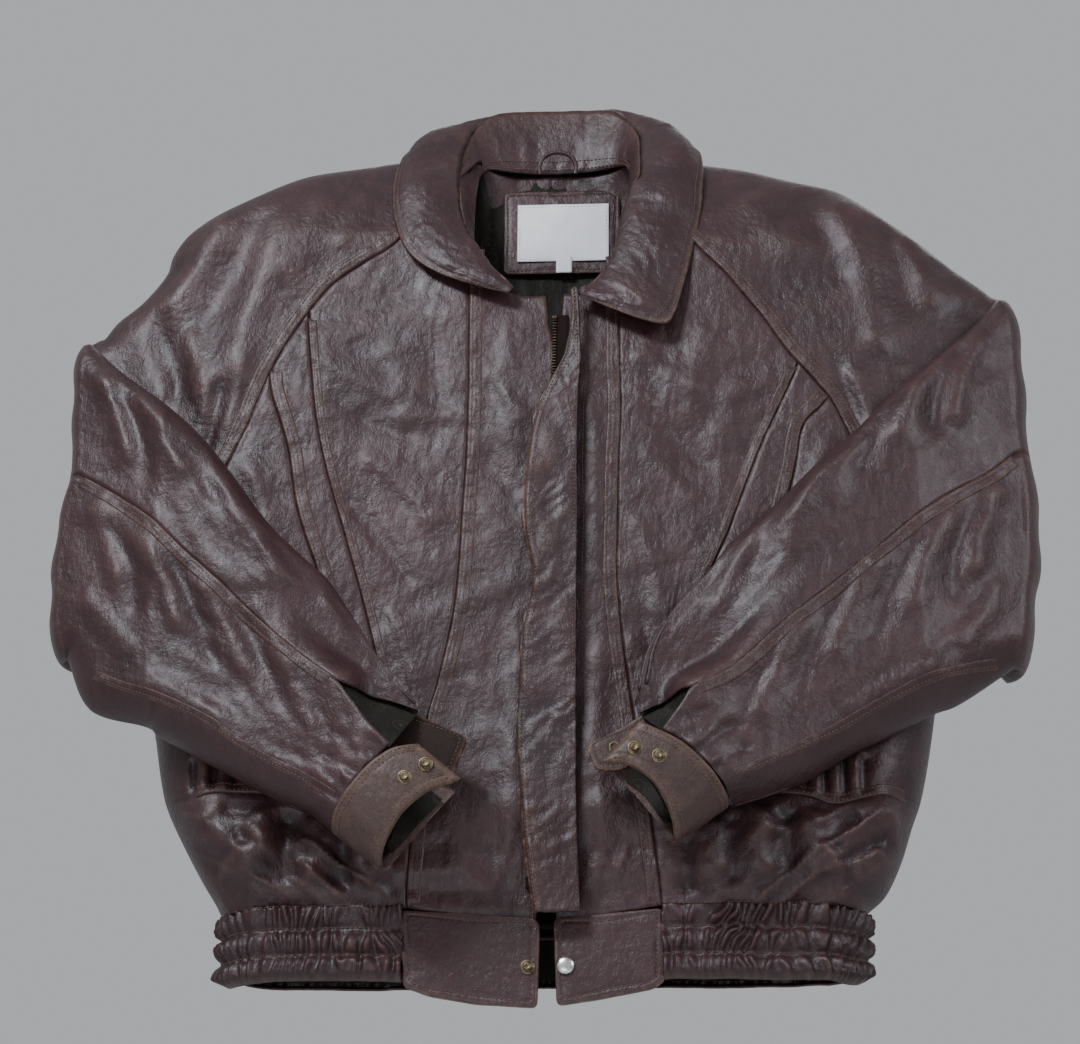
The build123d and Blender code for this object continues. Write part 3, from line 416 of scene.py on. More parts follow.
M_LEATHER = leather("leather", (0.0165, 0.0044, 0.0056), (0.0320, 0.0096, 0.0118), (0.052, 0.0175, 0.0210), rough=(0.33, 0.52), coat=0.08, spec=0.42)
M_CUFF = leather("leather_cuff", (0.026, 0.0120, 0.0100), (0.047, 0.0230, 0.0185), (0.082, 0.043, 0.033), rough=(0.40, 0.56), grain=0.8, crease=1.2, coat=0.07, spec=0.40)
M_EDGE = leather("leather_edge", (0.050, 0.027, 0.021), (0.078, 0.044, 0.033), (0.115, 0.066, 0.047), grain=0.6, crease=0.5, coat=0.05)
M_FACING = leather("leather_facing", (0.012, 0.0065, 0.0055), (0.020, 0.011, 0.009), (0.028, 0.016, 0.013), rough=(0.55, 0.7), grain=0.4, crease=0.4, coat=0.0, spec=0.16)
M_LINING = cloth("lining_cloth", (0.0055, 0.0050, 0.0036), (0.0135, 0.0118, 0.0085), 2600.0, 0.50, (62.0, (0.026, 0.022, 0.014)), sheen=0.0, spec=0.12)
M_LABEL = cloth("label_cloth", (0.66, 0.68, 0.71), (0.80, 0.82, 0.84), 2600.0, 0.5)
M_TAPE = cloth("zip_tape_cloth", (0.010, 0.005, 0.0045), (0.016, 0.009, 0.008), 2200.0, 0.8, sheen=0.0, spec=0.08)
M_THREAD = cloth("thread", (0.085, 0.050, 0.034), (0.15, 0.092, 0.062), 5200.0, 0.5, sheen=0.0)
M_BRASS = metal("antique_brass", (0.20, 0.155, 0.095), (0.055, 0.045, 0.032), 0.40)
M_NICKEL = metal("satin_nickel", (0.74, 0.73, 0.71), (0.5, 0.49, 0.48), 0.26)
M_ZIP = metal("zip_brass", (0.085, 0.062, 0.042), (0.025, 0.018, 0.014), 0.45)
# the elastic's colour is darkened as painted shade below the hem
M_ELASTIC_SHADE = cloth("elastic_cloth_painted_shade", (0.014, 0.011, 0.010), (0.026, 0.021, 0.019), 1900.0, 0.8, sheen=0.0, spec=0.1)
M_PAD = cloth("felt", (0.25, 0.24, 0.22), (0.4, 0.38, 0.35), 900.0, 0.9)


# ------------------------------------------------------------ body surfaces
def ymid(X, Z):
    return -1.0 - 13.0 * sm(-(Z + 10) / 260.0)


ZL = [0, 110, 200, 300, 400, 511, 575, 610, 636, 654, 668]
FL = [-57, -59, -62, -63, -65, -67, -71, -76, -76, -70, -60]
BL = [25, 29, 30, 30, 30, 30, 31, 34, 33, 29, 25]


def base_front(X, Z):
    ax = np.abs(X)
    lev = np.interp(-Z, ZL, FL) + 9.0 * sm((136 - ax) / 40.0) * sm((-Z - 585) / 40.0) * sm((668 + Z) / 18.0)
    t = sm((ax - 228) / 136.0) * sm((Z + 486) / 70.0)
    lev = lev * (1 - t) + (-40.0) * t
    neg = X.mean() < 0
    d1, d2 = edge_dist(X, Z, "sl" if neg else "sr"), edge_dist(X, Z, "el" if neg else "er")
    R1 = 100 - 70 * sm((ax - 90) / 270.0)
    R2 = 40 - 8 * sm((-Z - 560) / 90.0)
    lin = 0.55 * (1 - sm((ax - 90) / 190.0))
    ym = ymid(X, Z)
    return ym + (lev - ym) * (lin * np.clip(d1 / R1, 0, 1) + (1 - lin) * arc(d1 / R1)) * arc(d2 / R2)


def base_back(X, Z):
    ax = np.abs(X)
    lev = np.interp(-Z, ZL, BL)
    t = sm((ax - 228) / 136.0) * sm((Z + 486) / 70.0)
    lev = lev * (1 - t) + 13.0 * t
    neg = X.mean() < 0
    d1, d2 = edge_dist(X, Z, "sl" if neg else "sr"), edge_dist(X, Z, "el" if neg else "er")
    R1 = 52 - 24 * sm((ax - 90) / 270.0)
    ym = ymid(X, Z)
    return ym + (lev - ym) * arc(d1 / R1) * arc(d2 / 36.0)


# folds on the front: points (x, z), width, height in mm, lean
FOLDS_FRONT = [
    # left chest and front
    ([(-190, -215), (-150, -240), (-110, -262)], 9, 1.6, 0.3), ([(-175, -250), (-140, -276), (-100, -286)], 7, -1.3, 0.2),
    ([(-150, -300), (-112, -330), (-84, -372)], 10, 1.9, 0.3), ([(-168, -330), (-130, -372), (-100, -420)], 7, -1.6, 0.0),
    ([(-130, -200), (-116, -240), (-112, -290)], 11, 1.4, 0.2), ([(-96, -180), (-90, -240), (-86, -300)], 8, -1.2, 0.0),
    ([(-126, -420), (-104, -470), (-96, -530)], 8, 1.6, 0.3), ([(-84, -560), (-70, -600), (-62, -640)], 8, 1.8, 0.0),
    ([(-50, -230), (-30, -262), (-10, -280)], 6, 1.0, 0.0), ([(-54, -350), (-30, -372), (-10, -384)], 6, 0.9, 0.0),
    ([(-58, -300), (-34, -330), (-20, -362)], 7, -1.1, 0.0), ([(-30, -190), (-34, -250), (-28, -330)], 9, 1.1, 0.2),
    ([(-60, -480), (-36, -520), (-24, -570)], 8, 1.3, 0.0), ([(-46, -560), (-40, -610), (-44, -650)], 7, -1.6, 0.0),
    ([(-26, -420), (-24, -520), (-30, -640)], 7, 1.2, 0.2),
    # right chest and front
    ([(64, -214), (90, -240), (120, -256)], 9, 1.5, 0.2), ([(66, -262), (100, -300), (128, -322)], 7, -1.5, 0.0),
    ([(70, -300), (92, -330), (112, -352)], 7, 1.3, 0.2), ([(120, -190), (112, -240), (104, -290)], 10, 1.5, 0.2),
    ([(60, -350), (78, -400), (86, -450)], 8, 1.7, 0.2), ([(64, -430), (80, -480), (92, -520)], 7, -1.6, 0.0),
    ([(82, -560), (92, -600), (98, -648)], 8, 2.0, 0.0), ([(30, -240), (34, -330), (32, -420)], 6, 1.2, 0.0),
    ([(38, -430), (36, -540), (44, -640)], 7, 1.4, 0.0), ([(96, -200), (84, -226), (78, -262)], 8, -1.2, 0.0),
    ([(150, -240), (132, -280), (120, -320)], 9, 1.4, 0.0), ([(170, -262), (150, -306), (138, -346)], 7, -1.4, 0.0),
    # side panels, vertical drapes by the armholes
    ([(-238, -300), (-222, -340), (-204, -400)], 9, 2.4, 0.3), ([(-250, -330), (-236, -380), (-220, -440)], 8, -2.4, 0.0),
    ([(214, -290), (200, -330), (186, -380)], 9, 2.2, 0.3), ([(232, -330), (216, -370), (204, -420)], 8, -2.2, 0.0),
    # blouson folds over the waistband, left
    ([(-284, -592), (-262, -606), (-230, -616), (-206, -640)], 8, 5.0, 0.4), ([(-280, -606), (-254, -620), (-232, -636)], 6, -5.0, 0.2),
    ([(-212, -588), (-206, -612), (-216, -640)], 8, 4.2, 0.0), ([(-188, -590), (-192, -620), (-184, -652)], 7, -4.2, 0.2),
    ([(-170, -592), (-166, -620), (-172, -650)], 8, 4.0, 0.2), ([(-150, -596), (-146, -624), (-152, -652)], 6, -3.8, 0.0),
    ([(-132, -590), (-134, -620), (-128, -650)], 7, 3.8, 0.0), ([(-118, -600), (-114, -630), (-118, -656)], 5, -3.0, 0.0),
    ([(-240, -586), (-224, -600), (-220, -622)], 6, -3.4, 0.0), ([(-160, -606), (-144, -616), (-132, -634)], 6, 2.6, 0.0),
    # blouson folds, right
    ([(262, -596), (240, -604), (214, -622), (196, -640)], 8, 5.0, -0.4), ([(252, -610), (228, -624), (208, -640)], 6, -4.8, 0.0),
    ([(196, -594), (188, -616), (194, -646)], 8, 4.4, 0.0), ([(174, -592), (170, -620), (176, -650)], 7, -4.0, 0.0),
    ([(156, -590), (150, -618), (156, -650)], 8, 4.0, 0.2), ([(136, -596), (130, -622), (134, -652)], 6, -3.6, 0.0),
    ([(116, -596), (112, -624), (116, -652)], 7, 3.6, 0.0), ([(100, -610), (98, -634), (102, -656)], 5, -2.8, 0.0),
    ([(226, -600), (212, -610), (206, -630)], 6, -3.2, 0.0), ([(240, -620), (232, -634), (226, -650)], 7, 3.2, 0.0),
    # pleats above the hip seams
    ([(-262, -548), (-260, -578)], 3.2, -3.0, 0.4), ([(-247, -544), (-246, -577)], 3.2, -3.2, 0.4), ([(-232, -546), (-231, -577)], 3.2, -2.8, 0.4),
    ([(-254, -546), (-253, -578)], 4.0, 1.8, 0.0), ([(-239, -546), (-238, -578)], 4.0, 1.8, 0.0),
    ([(186, -550), (187, -583)], 3.2, -3.0, 0.4), ([(200, -548), (200, -586)], 3.2, -3.2, 0.4), ([(214, -548), (214, -586)], 3.2, -3.2, 0.4),
    ([(228, -550), (228, -584)], 3.2, -3.0, 0.4), ([(193, -550), (193, -585)], 4.0, 1.8, 0.0), ([(207, -550), (207, -586)], 4.0, 1.8, 0.0), ([(221, -550), (221, -585)], 4.0, 1.8, 0.0),
    # upper left sleeve: folds that run from the shoulder to the crook
    ([(-262, -70), (-280, -110), (-300, -150), (-330, -190)], 13, 3.4, 0.2), ([(-232, -70), (-252, -130), (-276, -190), (-300, -240)], 13, -2.6, 0.0),
    ([(-208, -60), (-226, -130), (-246, -200), (-262, -262)], 13, 3.0, 0.2), ([(-290, -180), (-276, -230), (-262, -280)], 9, 3.6, 0.2),
    ([(-318, -160), (-304, -210), (-286, -262)], 9, -4.0, 0.0), ([(-340, -176), (-322, -212), (-300, -250)], 8, 3.2, 0.0),
    ([(-180, -60), (-196, -110), (-214, -160)], 14, 2.4, 0.0), ([(-150, -60), (-160, -90), (-172, -124)], 12, 1.8, 0.0),
    ([(-258, -230), (-262, -270), (-272, -310)], 7, -3.0, 0.0), ([(-240, -210), (-246, -250), (-256, -292)], 7, 2.2, 0.0),
    ([(-300, -100), (-330, -150), (-356, -176)], 9, 2.2, 0.0), ([(-276, -86), (-300, -130), (-320, -150)], 9, -2.0, 0.0),
    # upper right sleeve
    ([(150, -60), (170, -100), (196, -150)], 14, 2.4, 0.0), ([(190, -60), (212, -110), (232, -170)], 13, -2.2, 0.0),
    ([(214, -66), (236, -120), (250, -180), (250, -230)], 13, 2.8, 0.2), ([(256, -90), (268, -140), (270, -190)], 11, -2.4, 0.0),
    ([(270, -100), (290, -150), (296, -190)], 11, 2.6, 0.2), ([(300, -130), (318, -160), (322, -190)], 9, -2.0, 0.0),
    ([(226, -230), (240, -262), (248, -300)], 8, 3.0, 0.2), ([(214, -216), (226, -250), (236, -290)], 7, -2.4, 0.0),
    ([(244, -200), (260, -226), (274, -246)], 7, 2.0, 0.0),
]


def bumps_front(X, Z):
    d = np.zeros(np.shape(X))
    for pts, w, h, lean in FOLDS_FRONT:
        low_ = pts[0][1] < -580
        d += stroke(X, Z, pts, w * (1.45 if low_ else 1.1), h * (1.25 if low_ else 1.2), lean)
    u, v = turned(X, Z, 78, 9.0, 34.0, 3)
    d += 0.6 * (ridged(u, v, 11) - 0.45)
    u, v = turned(X, Z, 20, 16.0, 60.0, 5)
    d += 0.9 * vnoise(u, v, 21)
    d += 2.2 * vnoise(X / 64.0, Z / 80.0, 31) + 0.35 * fbm(X / 9.0, Z / 9.0, 41, 3)
    low = sm((-Z - 590) / 30.0)
    u, v = turned(X, Z, 88, 9.5, 42.0, 7)
    d += low * 1.6 * (ridged(u, v, 61, 2) - 0.5)
    u, v = turned(X, Z, -42 if X.mean() < 0 else 42, 15.0, 62.0, 8)
    d += sm((-Z - 584) / 18.0) * sm((np.abs(X) - 100) / 30.0) * 5.2 * (ridged(u, v, 63, 1) - 0.45)
    return d


def side_fade(X, Z, w=16.0):
    """0 at the silhouette, so that front and back meet, and 1 inside."""
    neg = X.mean() < 0
    d1, d2 = edge_dist(X, Z, "sl" if neg else "sr"), edge_dist(X, Z, "el" if neg else "er")
    return sm(np.minimum(d1, d2) / w) * (1 - 0.75 * sm((np.abs(X) - 296) / 46.0))


def front_y(X, Z):
    X, Z = A(X, float), A(Z, float)
    return base_front(X, Z) - bumps_front(X, Z) * side_fade(X, Z)


FOLDS_BACK = [
    ([(-190, -120), (-150, -200), (-130, -300)], 16, 2.4, 0.2), ([(180, -120), (150, -200), (130, -300)], 16, 2.4, 0.2),
    ([(-60, -60), (-56, -200), (-70, -360)], 18, 1.8, 0.0), ([(56, -80), (60, -220), (66, -380)], 18, 1.6, 0.0),
    ([(-240, -320), (-190, -380), (-150, -460)], 14, 2.6, 0.2), ([(230, -330), (184, -390), (150, -460)], 14, 2.6, 0.2),
    ([(-220, -430), (-180, -500), (-150, -560)], 12, -2.2, 0.0), ([(210, -430), (176, -500), (140, -560)], 12, -2.2, 0.0),
    ([(-30, -300), (10, -360), (20, -430)], 14, 1.6, 0.0),
]


def bumps_back(X, Z):
    d = np.zeros(np.shape(X))
    for pts, w, h, lean in FOLDS_BACK:
        d += stroke(X, Z, pts, w, h, lean)
    u, v = turned(X, Z, 84, 10.0, 40.0, 13)
    d += 0.9 * (ridged(u, v, 81) - 0.45)
    d += 2.4 * vnoise(X / 70.0, Z / 90.0, 91) + 0.35 * fbm(X / 9.0, Z / 9.0, 95, 3)
    low = sm((-Z - 575) / 40.0)
    u, v = turned(X, Z, 89, 13.0, 70.0, 17)
    d += low * 5.0 * (ridged(u, v, 71, 2) - 0.5)
    return d


def back_y(X, Z):
    X, Z = A(X, float), A(Z, float)
    return base_back(X, Z) + bumps_back(X, Z) * side_fade(X, Z)


    return P


def edge_rows(n, first=True, last=True):
    """Row or column places from 0 to 1, closer together at an end that rolls over a silhouette."""
    t = np.linspace(0, 1, n)
    if first and last:
        return 0.5 - 0.5 * np.cos(np.pi * t) * (1 - 0.0)
    if first:
        return 1 - np.cos(0.5 * np.pi * t)
    if last:
        return np.sin(0.5 * np.pi * t)
    return t


def coons_at(top, bot, left, right, tt, ss, k=400):
    """Coons patch sampled at row places tt and column places ss."""
    T, B = curve(top, k), curve(bot, k)
    L, R = curve(left, k), curve(right, k)
    u = np.linspace(0, 1, k)
    at = lambda C, q: np.stack([np.interp(q, u, C[:, c]) for c in range(C.shape[1])], 1)
    s, t = ss[None, :, None], tt[:, None, None]
    T_, B_, L_, R_ = at(T, ss)[None], at(B, ss)[None], at(L, tt)[:, None], at(R, tt)[:, None]
    P = (1 - t) * T_ + t * B_ + (1 - s) * L_ + s * R_
    return P - ((1 - s) * (1 - t) * T[0] + s * (1 - t) * T[-1] + (1 - s) * t * B[0] + s * t * B[-1])


def cavity(H, k=2):
    """How far each point of a height grid lies below its neighbours, 0 to 1."""
    S = H.copy()
    for _ in range(k * 3):
        Q = np.pad(S, 1, mode="edge")
        S = (Q[:-2, 1:-1] + Q[2:, 1:-1] + Q[1:-1, :-2] + Q[1:-1, 2:] + 4 * S) / 8
    return S - H


def sheet_piece(name, P, yfun, body, mat=M_LEATHER, thick=1.8, sign=-1, sink=None, wear=None, repl=()):
    """One leather panel from an (n, m, 2) grid of x, z places. sign -1 faces the front, 1 the back."""
    X, Z = P[..., 0], P[..., 1]
    Y = yfun(X, Z)
    n, m = X.shape
    if sink is not None:          # edges rolled into the seam
        dd = np.full(X.shape, 99.0)
        for line in sink:
            dd = np.minimum(dd, pdist(X, Z, line)[0])
        Y = Y - sign * 1.6 * (1 - sm(dd / 3.2))
    for j in (0, -1):             # the two faces meet on the silhouette
        e = edge_dist(X[:, j], Z[:, j], "el" if X[:, j].mean() < 0 else "er") < 2.0
        Y[:, j] = np.where(e, ymid(X[:, j], Z[:, j]), Y[:, j])
    # painted shade: the low places of the panel surface are darkened in its colour
    painted_shade = np.clip(cavity(Y * sign) * 0.55, 0, 1)
    V = np.stack([X, Y, Z], -1).reshape(-1, 3)
    w = np.zeros(X.shape) if wear is None else wear(X, Z)
    ridge = np.clip(-cavity(Y * sign) * 0.25, 0, 0.35)
    F = grid_faces(n, m, flip=(sign > 0))
    # keep the outside on the side that the sign says
    v = V[F[len(F) // 2]]
    nrm = np.cross(v[1] - v[0], v[2] - v[0])
    if nrm[1] * sign < 0:
        F = F[:, ::-1]
    ob = mesh(name, V, F, mat, attrs={"wear": np.clip(w + ridge, 0, 1), "painted_shade": painted_shade})
    if thick:
        solidify(ob, thick)
    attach(ob, body)
    if repl:
        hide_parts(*repl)
    return ob


# --------------------------------------------------------------- stitching
def tube_bits(P0, P1, r, N, seg=6):
    """Capsule from P0 to P1 for many stitches at once: returns verts, faces."""
    k = len(P0)
    D = P1 - P0
    L = np.linalg.norm(D, axis=1, keepdims=True)
    D = D / np.maximum(L, 1e-6)
    S = np.cross(D, N)
    S /= np.maximum(np.linalg.norm(S, axis=1, keepdims=True), 1e-6)
    U = np.cross(S, D)
    ts = A([0.0, 0.12, 0.5, 0.88, 1.0])
    rs = A([0.25, 0.85, 1.0, 0.85, 0.25]) * r
    lift = A([-0.45, -0.05, 0.18, -0.05, -0.45])
    ang = np.linspace(0, 2 * np.pi, seg, endpoint=False)
    V = np.empty((k, 5, seg, 3))
    for a_, (t, rr, lf) in enumerate(zip(ts, rs, lift)):
        c = P0 + D * L * t + U * lf
        for b_, th in enumerate(ang):
            V[:, a_, b_] = c + S * rr * math.cos(th) + U * rr * math.sin(th)
    F = []
    for a_ in range(4):
        for b_ in range(seg):
            F.append([a_ * seg + b_, a_ * seg + (b_ + 1) % seg, (a_ + 1) * seg + (b_ + 1) % seg, (a_ + 1) * seg + b_])
    F = A(F)
    allF = (F[None] + (np.arange(k) * 5 * seg)[:, None, None]).reshape(-1, 4)
    return V.reshape(-1, 3), allF


def stitch_rows(name, rows, body, pitch=3.3, dash=2.3, r=0.33, mat=M_THREAD, normals=None, blend=None):
    """rows: 3-D polylines on the surface; normals: matching outward directions."""
    VV, FF, base = [], [], 0
    for i, C in enumerate(rows):
        C = A(C, float)
        L = np.r_[0, np.cumsum(np.linalg.norm(np.diff(C, axis=0), axis=1))]
        k = int(L[-1] / pitch)
        if k < 1:
            continue
        s0 = np.arange(k) * pitch + 0.3
        at = lambda s: np.stack([np.interp(s, L, C[:, c]) for c in range(3)], 1)
        P0, P1 = at(s0), at(s0 + dash)
        Nn = A(normals[i], float) if normals is not None else A([0, -1, 0])
        Nn = np.tile(Nn, (k, 1)) if Nn.ndim == 1 else np.stack([np.interp(s0, L, Nn[:, c]) for c in range(3)], 1)
        V, F = tube_bits(P0, P1, r, Nn)
        VV.append(V); FF.append(F + base); base += len(V)
    ob = mesh(name, np.vstack(VV), np.vstack(FF), mat)
    if blend:
        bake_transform(ob)
    else:
        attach(ob, body)
    return ob


def offset_line(P, d):
    """A plane curve moved sideways by d."""
    P = A(P, float)
    T = np.gradient(P, axis=0)
    T /= np.maximum(np.linalg.norm(T, axis=1, keepdims=True), 1e-9)
    return P + np.stack([-T[:, 1], T[:, 0]], 1) * d


BAND_O = A([-1.6, -0.9, -0.1, 0.8, 2.0, 3.4, 5.2, 6.6, 7.8, 8.7, 9.5, 10.2])
BAND_H = A([-1.9, -0.3, 0.65, 0.95, 0.65, 0.95, 0.95, 0.65, 0.95, 0.65, -0.3, -1.9])


def seam(name, line, yfun, body, side=1, sign=-1, width=9.0, high=1.0, step=2.4, seed=1, rows=(1.9, 6.9), ends=(True, True), blend=None):
    """A felled seam: a raised band beside the line with two rows of stitches."""
    C = curve(line, step=step)
    k = len(C)
    T = np.gradient(C, axis=0)
    T /= np.maximum(np.linalg.norm(T, axis=1, keepdims=True), 1e-9)
    Nn = np.stack([-T[:, 1], T[:, 0]], 1) * side
    sarc = np.arange(k) * step
    off = BAND_O * (width / 9.0)
    P = C[:, None] + Nn[:, None] * off[None, :, None]
    X, Z = P[..., 0], P[..., 1]
    Yc = yfun(C[:, 0] + Nn[:, 0] * 4.5, C[:, 1] + Nn[:, 1] * 4.5)
    Y = yfun(X, Z)
    puck = 0.32 * vnoise(sarc / 5.5, np.zeros(k) + seed * 3.1, seed) + 0.25 * vnoise(sarc / 2.6, np.zeros(k) + 7 + seed, seed + 1)
    H = BAND_H[None] * high + puck[:, None] * np.clip(BAND_H, 0, 1)[None]
    fade = np.ones(k)
    if ends[0]:
        fade *= sm(sarc / 5.0)
    if ends[1]:
        fade *= sm((sarc[-1] - sarc) / 5.0)
    H = H * fade[:, None] - (1 - fade[:, None]) * 1.5
    V = np.stack([X, Y + sign * H, Z], -1)
    edge = np.clip(1.0 - np.minimum(np.abs(off), np.abs(off - width)) / 2.0, 0, 1)
    wear = (0.10 + 0.55 * edge)[None] * (0.65 + 0.35 * vnoise(sarc / 22.0, np.zeros(k) + 3, seed + 9))[:, None]
    # painted shade: the sunken sides and buried ends of the seam band are darkened
    painted_shade = np.clip(0.2 - H * 0.5, 0, 1) * 0.6
    F = grid_faces(k, len(off))
    v = V.reshape(-1, 3)[F[len(F) // 2]]
    if np.cross(v[1] - v[0], v[2] - v[0])[1] * sign < 0:
        F = F[:, ::-1]
    ob = mesh(name, V.reshape(-1, 3), F, M_LEATHER, attrs={"wear": wear, "painted_shade": painted_shade})
    if blend:
        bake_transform(ob)
    else:
        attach(ob, body)
    lines = []
    for o in rows:
        Q = C + Nn * o * (width / 9.0)
        y = yfun(Q[:, 0], Q[:, 1]) + sign * (0.85 * high + puck)
        L3 = np.stack([Q[:, 0], y, Q[:, 1]], 1)[2:-2]
        lines.append(L3)
    stitch_rows(name + "_stitches", lines, body, normals=[A([0, sign, 0])] * len(lines), blend=blend)
    return ob


def row_count(L, step):
    return max(4, int(L / step) + 1)


def seam_wear(lines, w=7.0, amount=0.55):
    def f(X, Z):
        dd = np.full(X.shape, 99.0)
        for line in lines:
            dd = np.minimum(dd, pdist(X, Z, line)[0])
        return amount * (1 - sm(dd / w)) * (0.6 + 0.4 * vnoise(X / 14, Z / 14, 77))
    return f


STEP = 2.9
# ------------------------------------------------------------- front panels
LF_EDGE = [(-5.2, -168), (-2.7, -189.9), (2.9, -217.1), (2.2, -233.5), (1.0, -278.9), (-1.7, -346.0), (-4.9, -427.7), (-6.5, -507.0), (-7.0, -621.9), (-8.5, -675)]
NECK_FL = [(-64, -124), (-47, -150), (-30, -166), (-5.2, -168)]
NECK_FR = [(9, -166), (24, -166), (38, -155), (52, -132)]
RF_EDGE = [(9, -166), (6, -230), (6, -330), (6, -450), (6, -560), (6, -675)]


def cut(line, a, b, n=200):
    """Part of a line between two places from 0 to 1."""
    C = curve(line, n)
    return C[int(a * (n - 1)):int(b * (n - 1)) + 1]


def place(line, pt, n=400):
    C = curve(line, n)
    return float(np.argmin(np.hypot(C[:, 0] - pt[0], C[:, 1] - pt[1]))) / (n - 1)


def panel(name, top, bot, left, right, body="torso", yfun=front_y, sign=-1, roll=(False, False), sink=(), wear=(), **kw):
    nr, nc = row_count(max(length(left), length(right)), STEP), row_count(max(length(top), length(bot)), STEP)
    tt = np.linspace(0, 1, nr)
    ss = edge_rows(int(nc * (1.15 if any(roll) else 1)), roll[0], roll[1])
    P = coons_at(top, bot, left, right, tt, ss)
    return sheet_piece(name, P, yfun, body, sign=sign, sink=list(sink) or None, wear=seam_wear(list(wear)) if wear else None, **kw)


ra, rb = place(RAG_L, DIAG2_L[0]), place(RAG_L, DIAG_L[0])
panel("front_panel_left", NECK_FL, [(-101, -662), (-60, -670), (-8.5, -675)], PRIN_L, LF_EDGE, sink=[PRIN_L], wear=[LF_EDGE], repl=["front_panel_left"], thick=3.0)
panel("chest_panel_left", np.vstack([cut(RAG_L, 0, ra)[::-1], [(-76, -92)], [PRIN_L[0]]]), [DIAG2_L[-1], (-104, -580), (-95, -582)], DIAG2_L, cut(PRIN_L, 0, place(PRIN_L, (-95, -582))), sink=[PRIN_L, DIAG2_L, RAG_L], repl=["chest_panel_left"])
panel("pleat_panel_left", cut(RAG_L, ra, rb)[::-1], [DIAG_L[-1], (-126, -579), DIAG2_L[-1]], DIAG_L, DIAG2_L, sink=[DIAG_L, DIAG2_L, RAG_L])
SIDE_UP_L = cut(SIDE_L, place(SIDE_L, (-304, -412)), place(SIDE_L, (-287.2, -573.6)))
panel("side_panel_left", cut(RAG_L, rb, 1)[::-1], curve(HIP_L[:6], 40), SIDE_UP_L, DIAG_L, roll=(True, False), sink=[DIAG_L, RAG_L, HIP_L], repl=["side_panel_left"])
SIDE_LO_L = cut(SIDE_L, place(SIDE_L, (-290, -562)), 1)
panel("lower_panel_left", curve(HIP_L, 60), [(-240, -662), (-170, -664), (-101, -662)], SIDE_LO_L, cut(PRIN_L, place(PRIN_L, (-95, -582)), 1), roll=(True, False), sink=[HIP_L, PRIN_L], repl=["lower_panel_left"])

ra, rb = place(RAG_R, DIAG_R[0]), place(RAG_R, DIAG2_R[0])
panel("front_panel_right", NECK_FR, [(6, -675), (40, -671), (80.4, -664)], RF_EDGE, PRIN_R, sink=[PRIN_R], repl=["front_panel_right"], thick=2.0)
panel("chest_panel_right", np.vstack([[PRIN_R[0]], [(63, -92)], cut(RAG_R, 0, ra)]), [(70, -583), (84, -581), DIAG_R[-1]], cut(PRIN_R, 0, place(PRIN_R, (70, -583))), DIAG_R, sink=[PRIN_R, DIAG_R, RAG_R], repl=["chest_panel_right"])
panel("pleat_panel_right", cut(RAG_R, ra, rb), [DIAG_R[-1], (120, -579), DIAG2_R[-1]], DIAG_R, DIAG2_R, sink=[DIAG_R, DIAG2_R, RAG_R])
SIDE_UP_R = cut(SIDE_R, place(SIDE_R, (289, -414)), place(SIDE_R, (270, -578)))
panel("side_panel_right", cut(RAG_R, rb, 1), curve(HIP_R[:7], 40)[::-1], DIAG2_R, SIDE_UP_R, roll=(False, True), sink=[DIAG2_R, RAG_R, HIP_R], repl=["side_panel_right"])
SIDE_LO_R = cut(SIDE_R, place(SIDE_R, (270, -578)), 1)
panel("lower_panel_right", curve(HIP_R, 60)[::-1], [(80.4, -662), (150, -664), (228, -662)], cut(PRIN_R, place(PRIN_R, (70, -583)), 1), SIDE_LO_R, roll=(False, True), sink=[HIP_R, PRIN_R], repl=["lower_panel_right"])

seam("princess_seam_left", PRIN_L, front_y, "torso", side=1, seed=1)
seam("princess_seam_right", PRIN_R, front_y, "torso", side=-1, seed=2)
seam("raglan_seam_left", cut(RAG_L, 0.06, 0.99), front_y, "torso", side=-1, seed=3)
seam("raglan_seam_right", cut(RAG_R, 0.06, 0.99), front_y, "torso", side=1, seed=4)
seam("pleat_seam_left", cut(DIAG_L, 0, 0.98), front_y, "torso", side=1, seed=5)
seam("dart_seam_left", cut(DIAG2_L, 0.02, 0.98), front_y, "torso", side=1, seed=6, width=6.0, high=0.8, rows=(2.4,))
seam("pleat_seam_right", cut(DIAG_R, 0.02, 0.98), front_y, "torso", side=-1, seed=7, width=6.0, high=0.8, rows=(2.4,))
seam("dart_seam_right", cut(DIAG2_R, 0, 0.98), front_y, "torso", side=-1, seed=8)
seam("hip_seam_left", cut(HIP_L, 0.15, 0.98), front_y, "torso", side=1, seed=9, width=7.5)
seam("hip_seam_right", cut(HIP_R, 0.05, 0.98), front_y, "torso", side=-1, seed=10, width=7.5)

# ------------------------------------------------------------- back panels
BACK_NECK = [(-62, -10), (-40, -12.5), (0, -14), (36, -13), (58, -12)]
BRAG_L = [(-62, -10), (-100, -80), (-150, -160), (-196, -240), (-236, -310), (-270, -366), (-304, -412)]
BRAG_R = [(58, -12), (98, -84), (146, -164), (190, -244), (226, -314), (258, -370), (289, -414)]


def back_any(X, Z):
    """The back surface over its whole width, without a step at the middle."""
    X, Z = A(X, float), A(Z, float)
    Y = np.empty(X.shape)
    neg = X < 0
    for m in (neg, ~neg):
        if m.any():
            Y[m] = back_y(X[m], Z[m])
    return Y


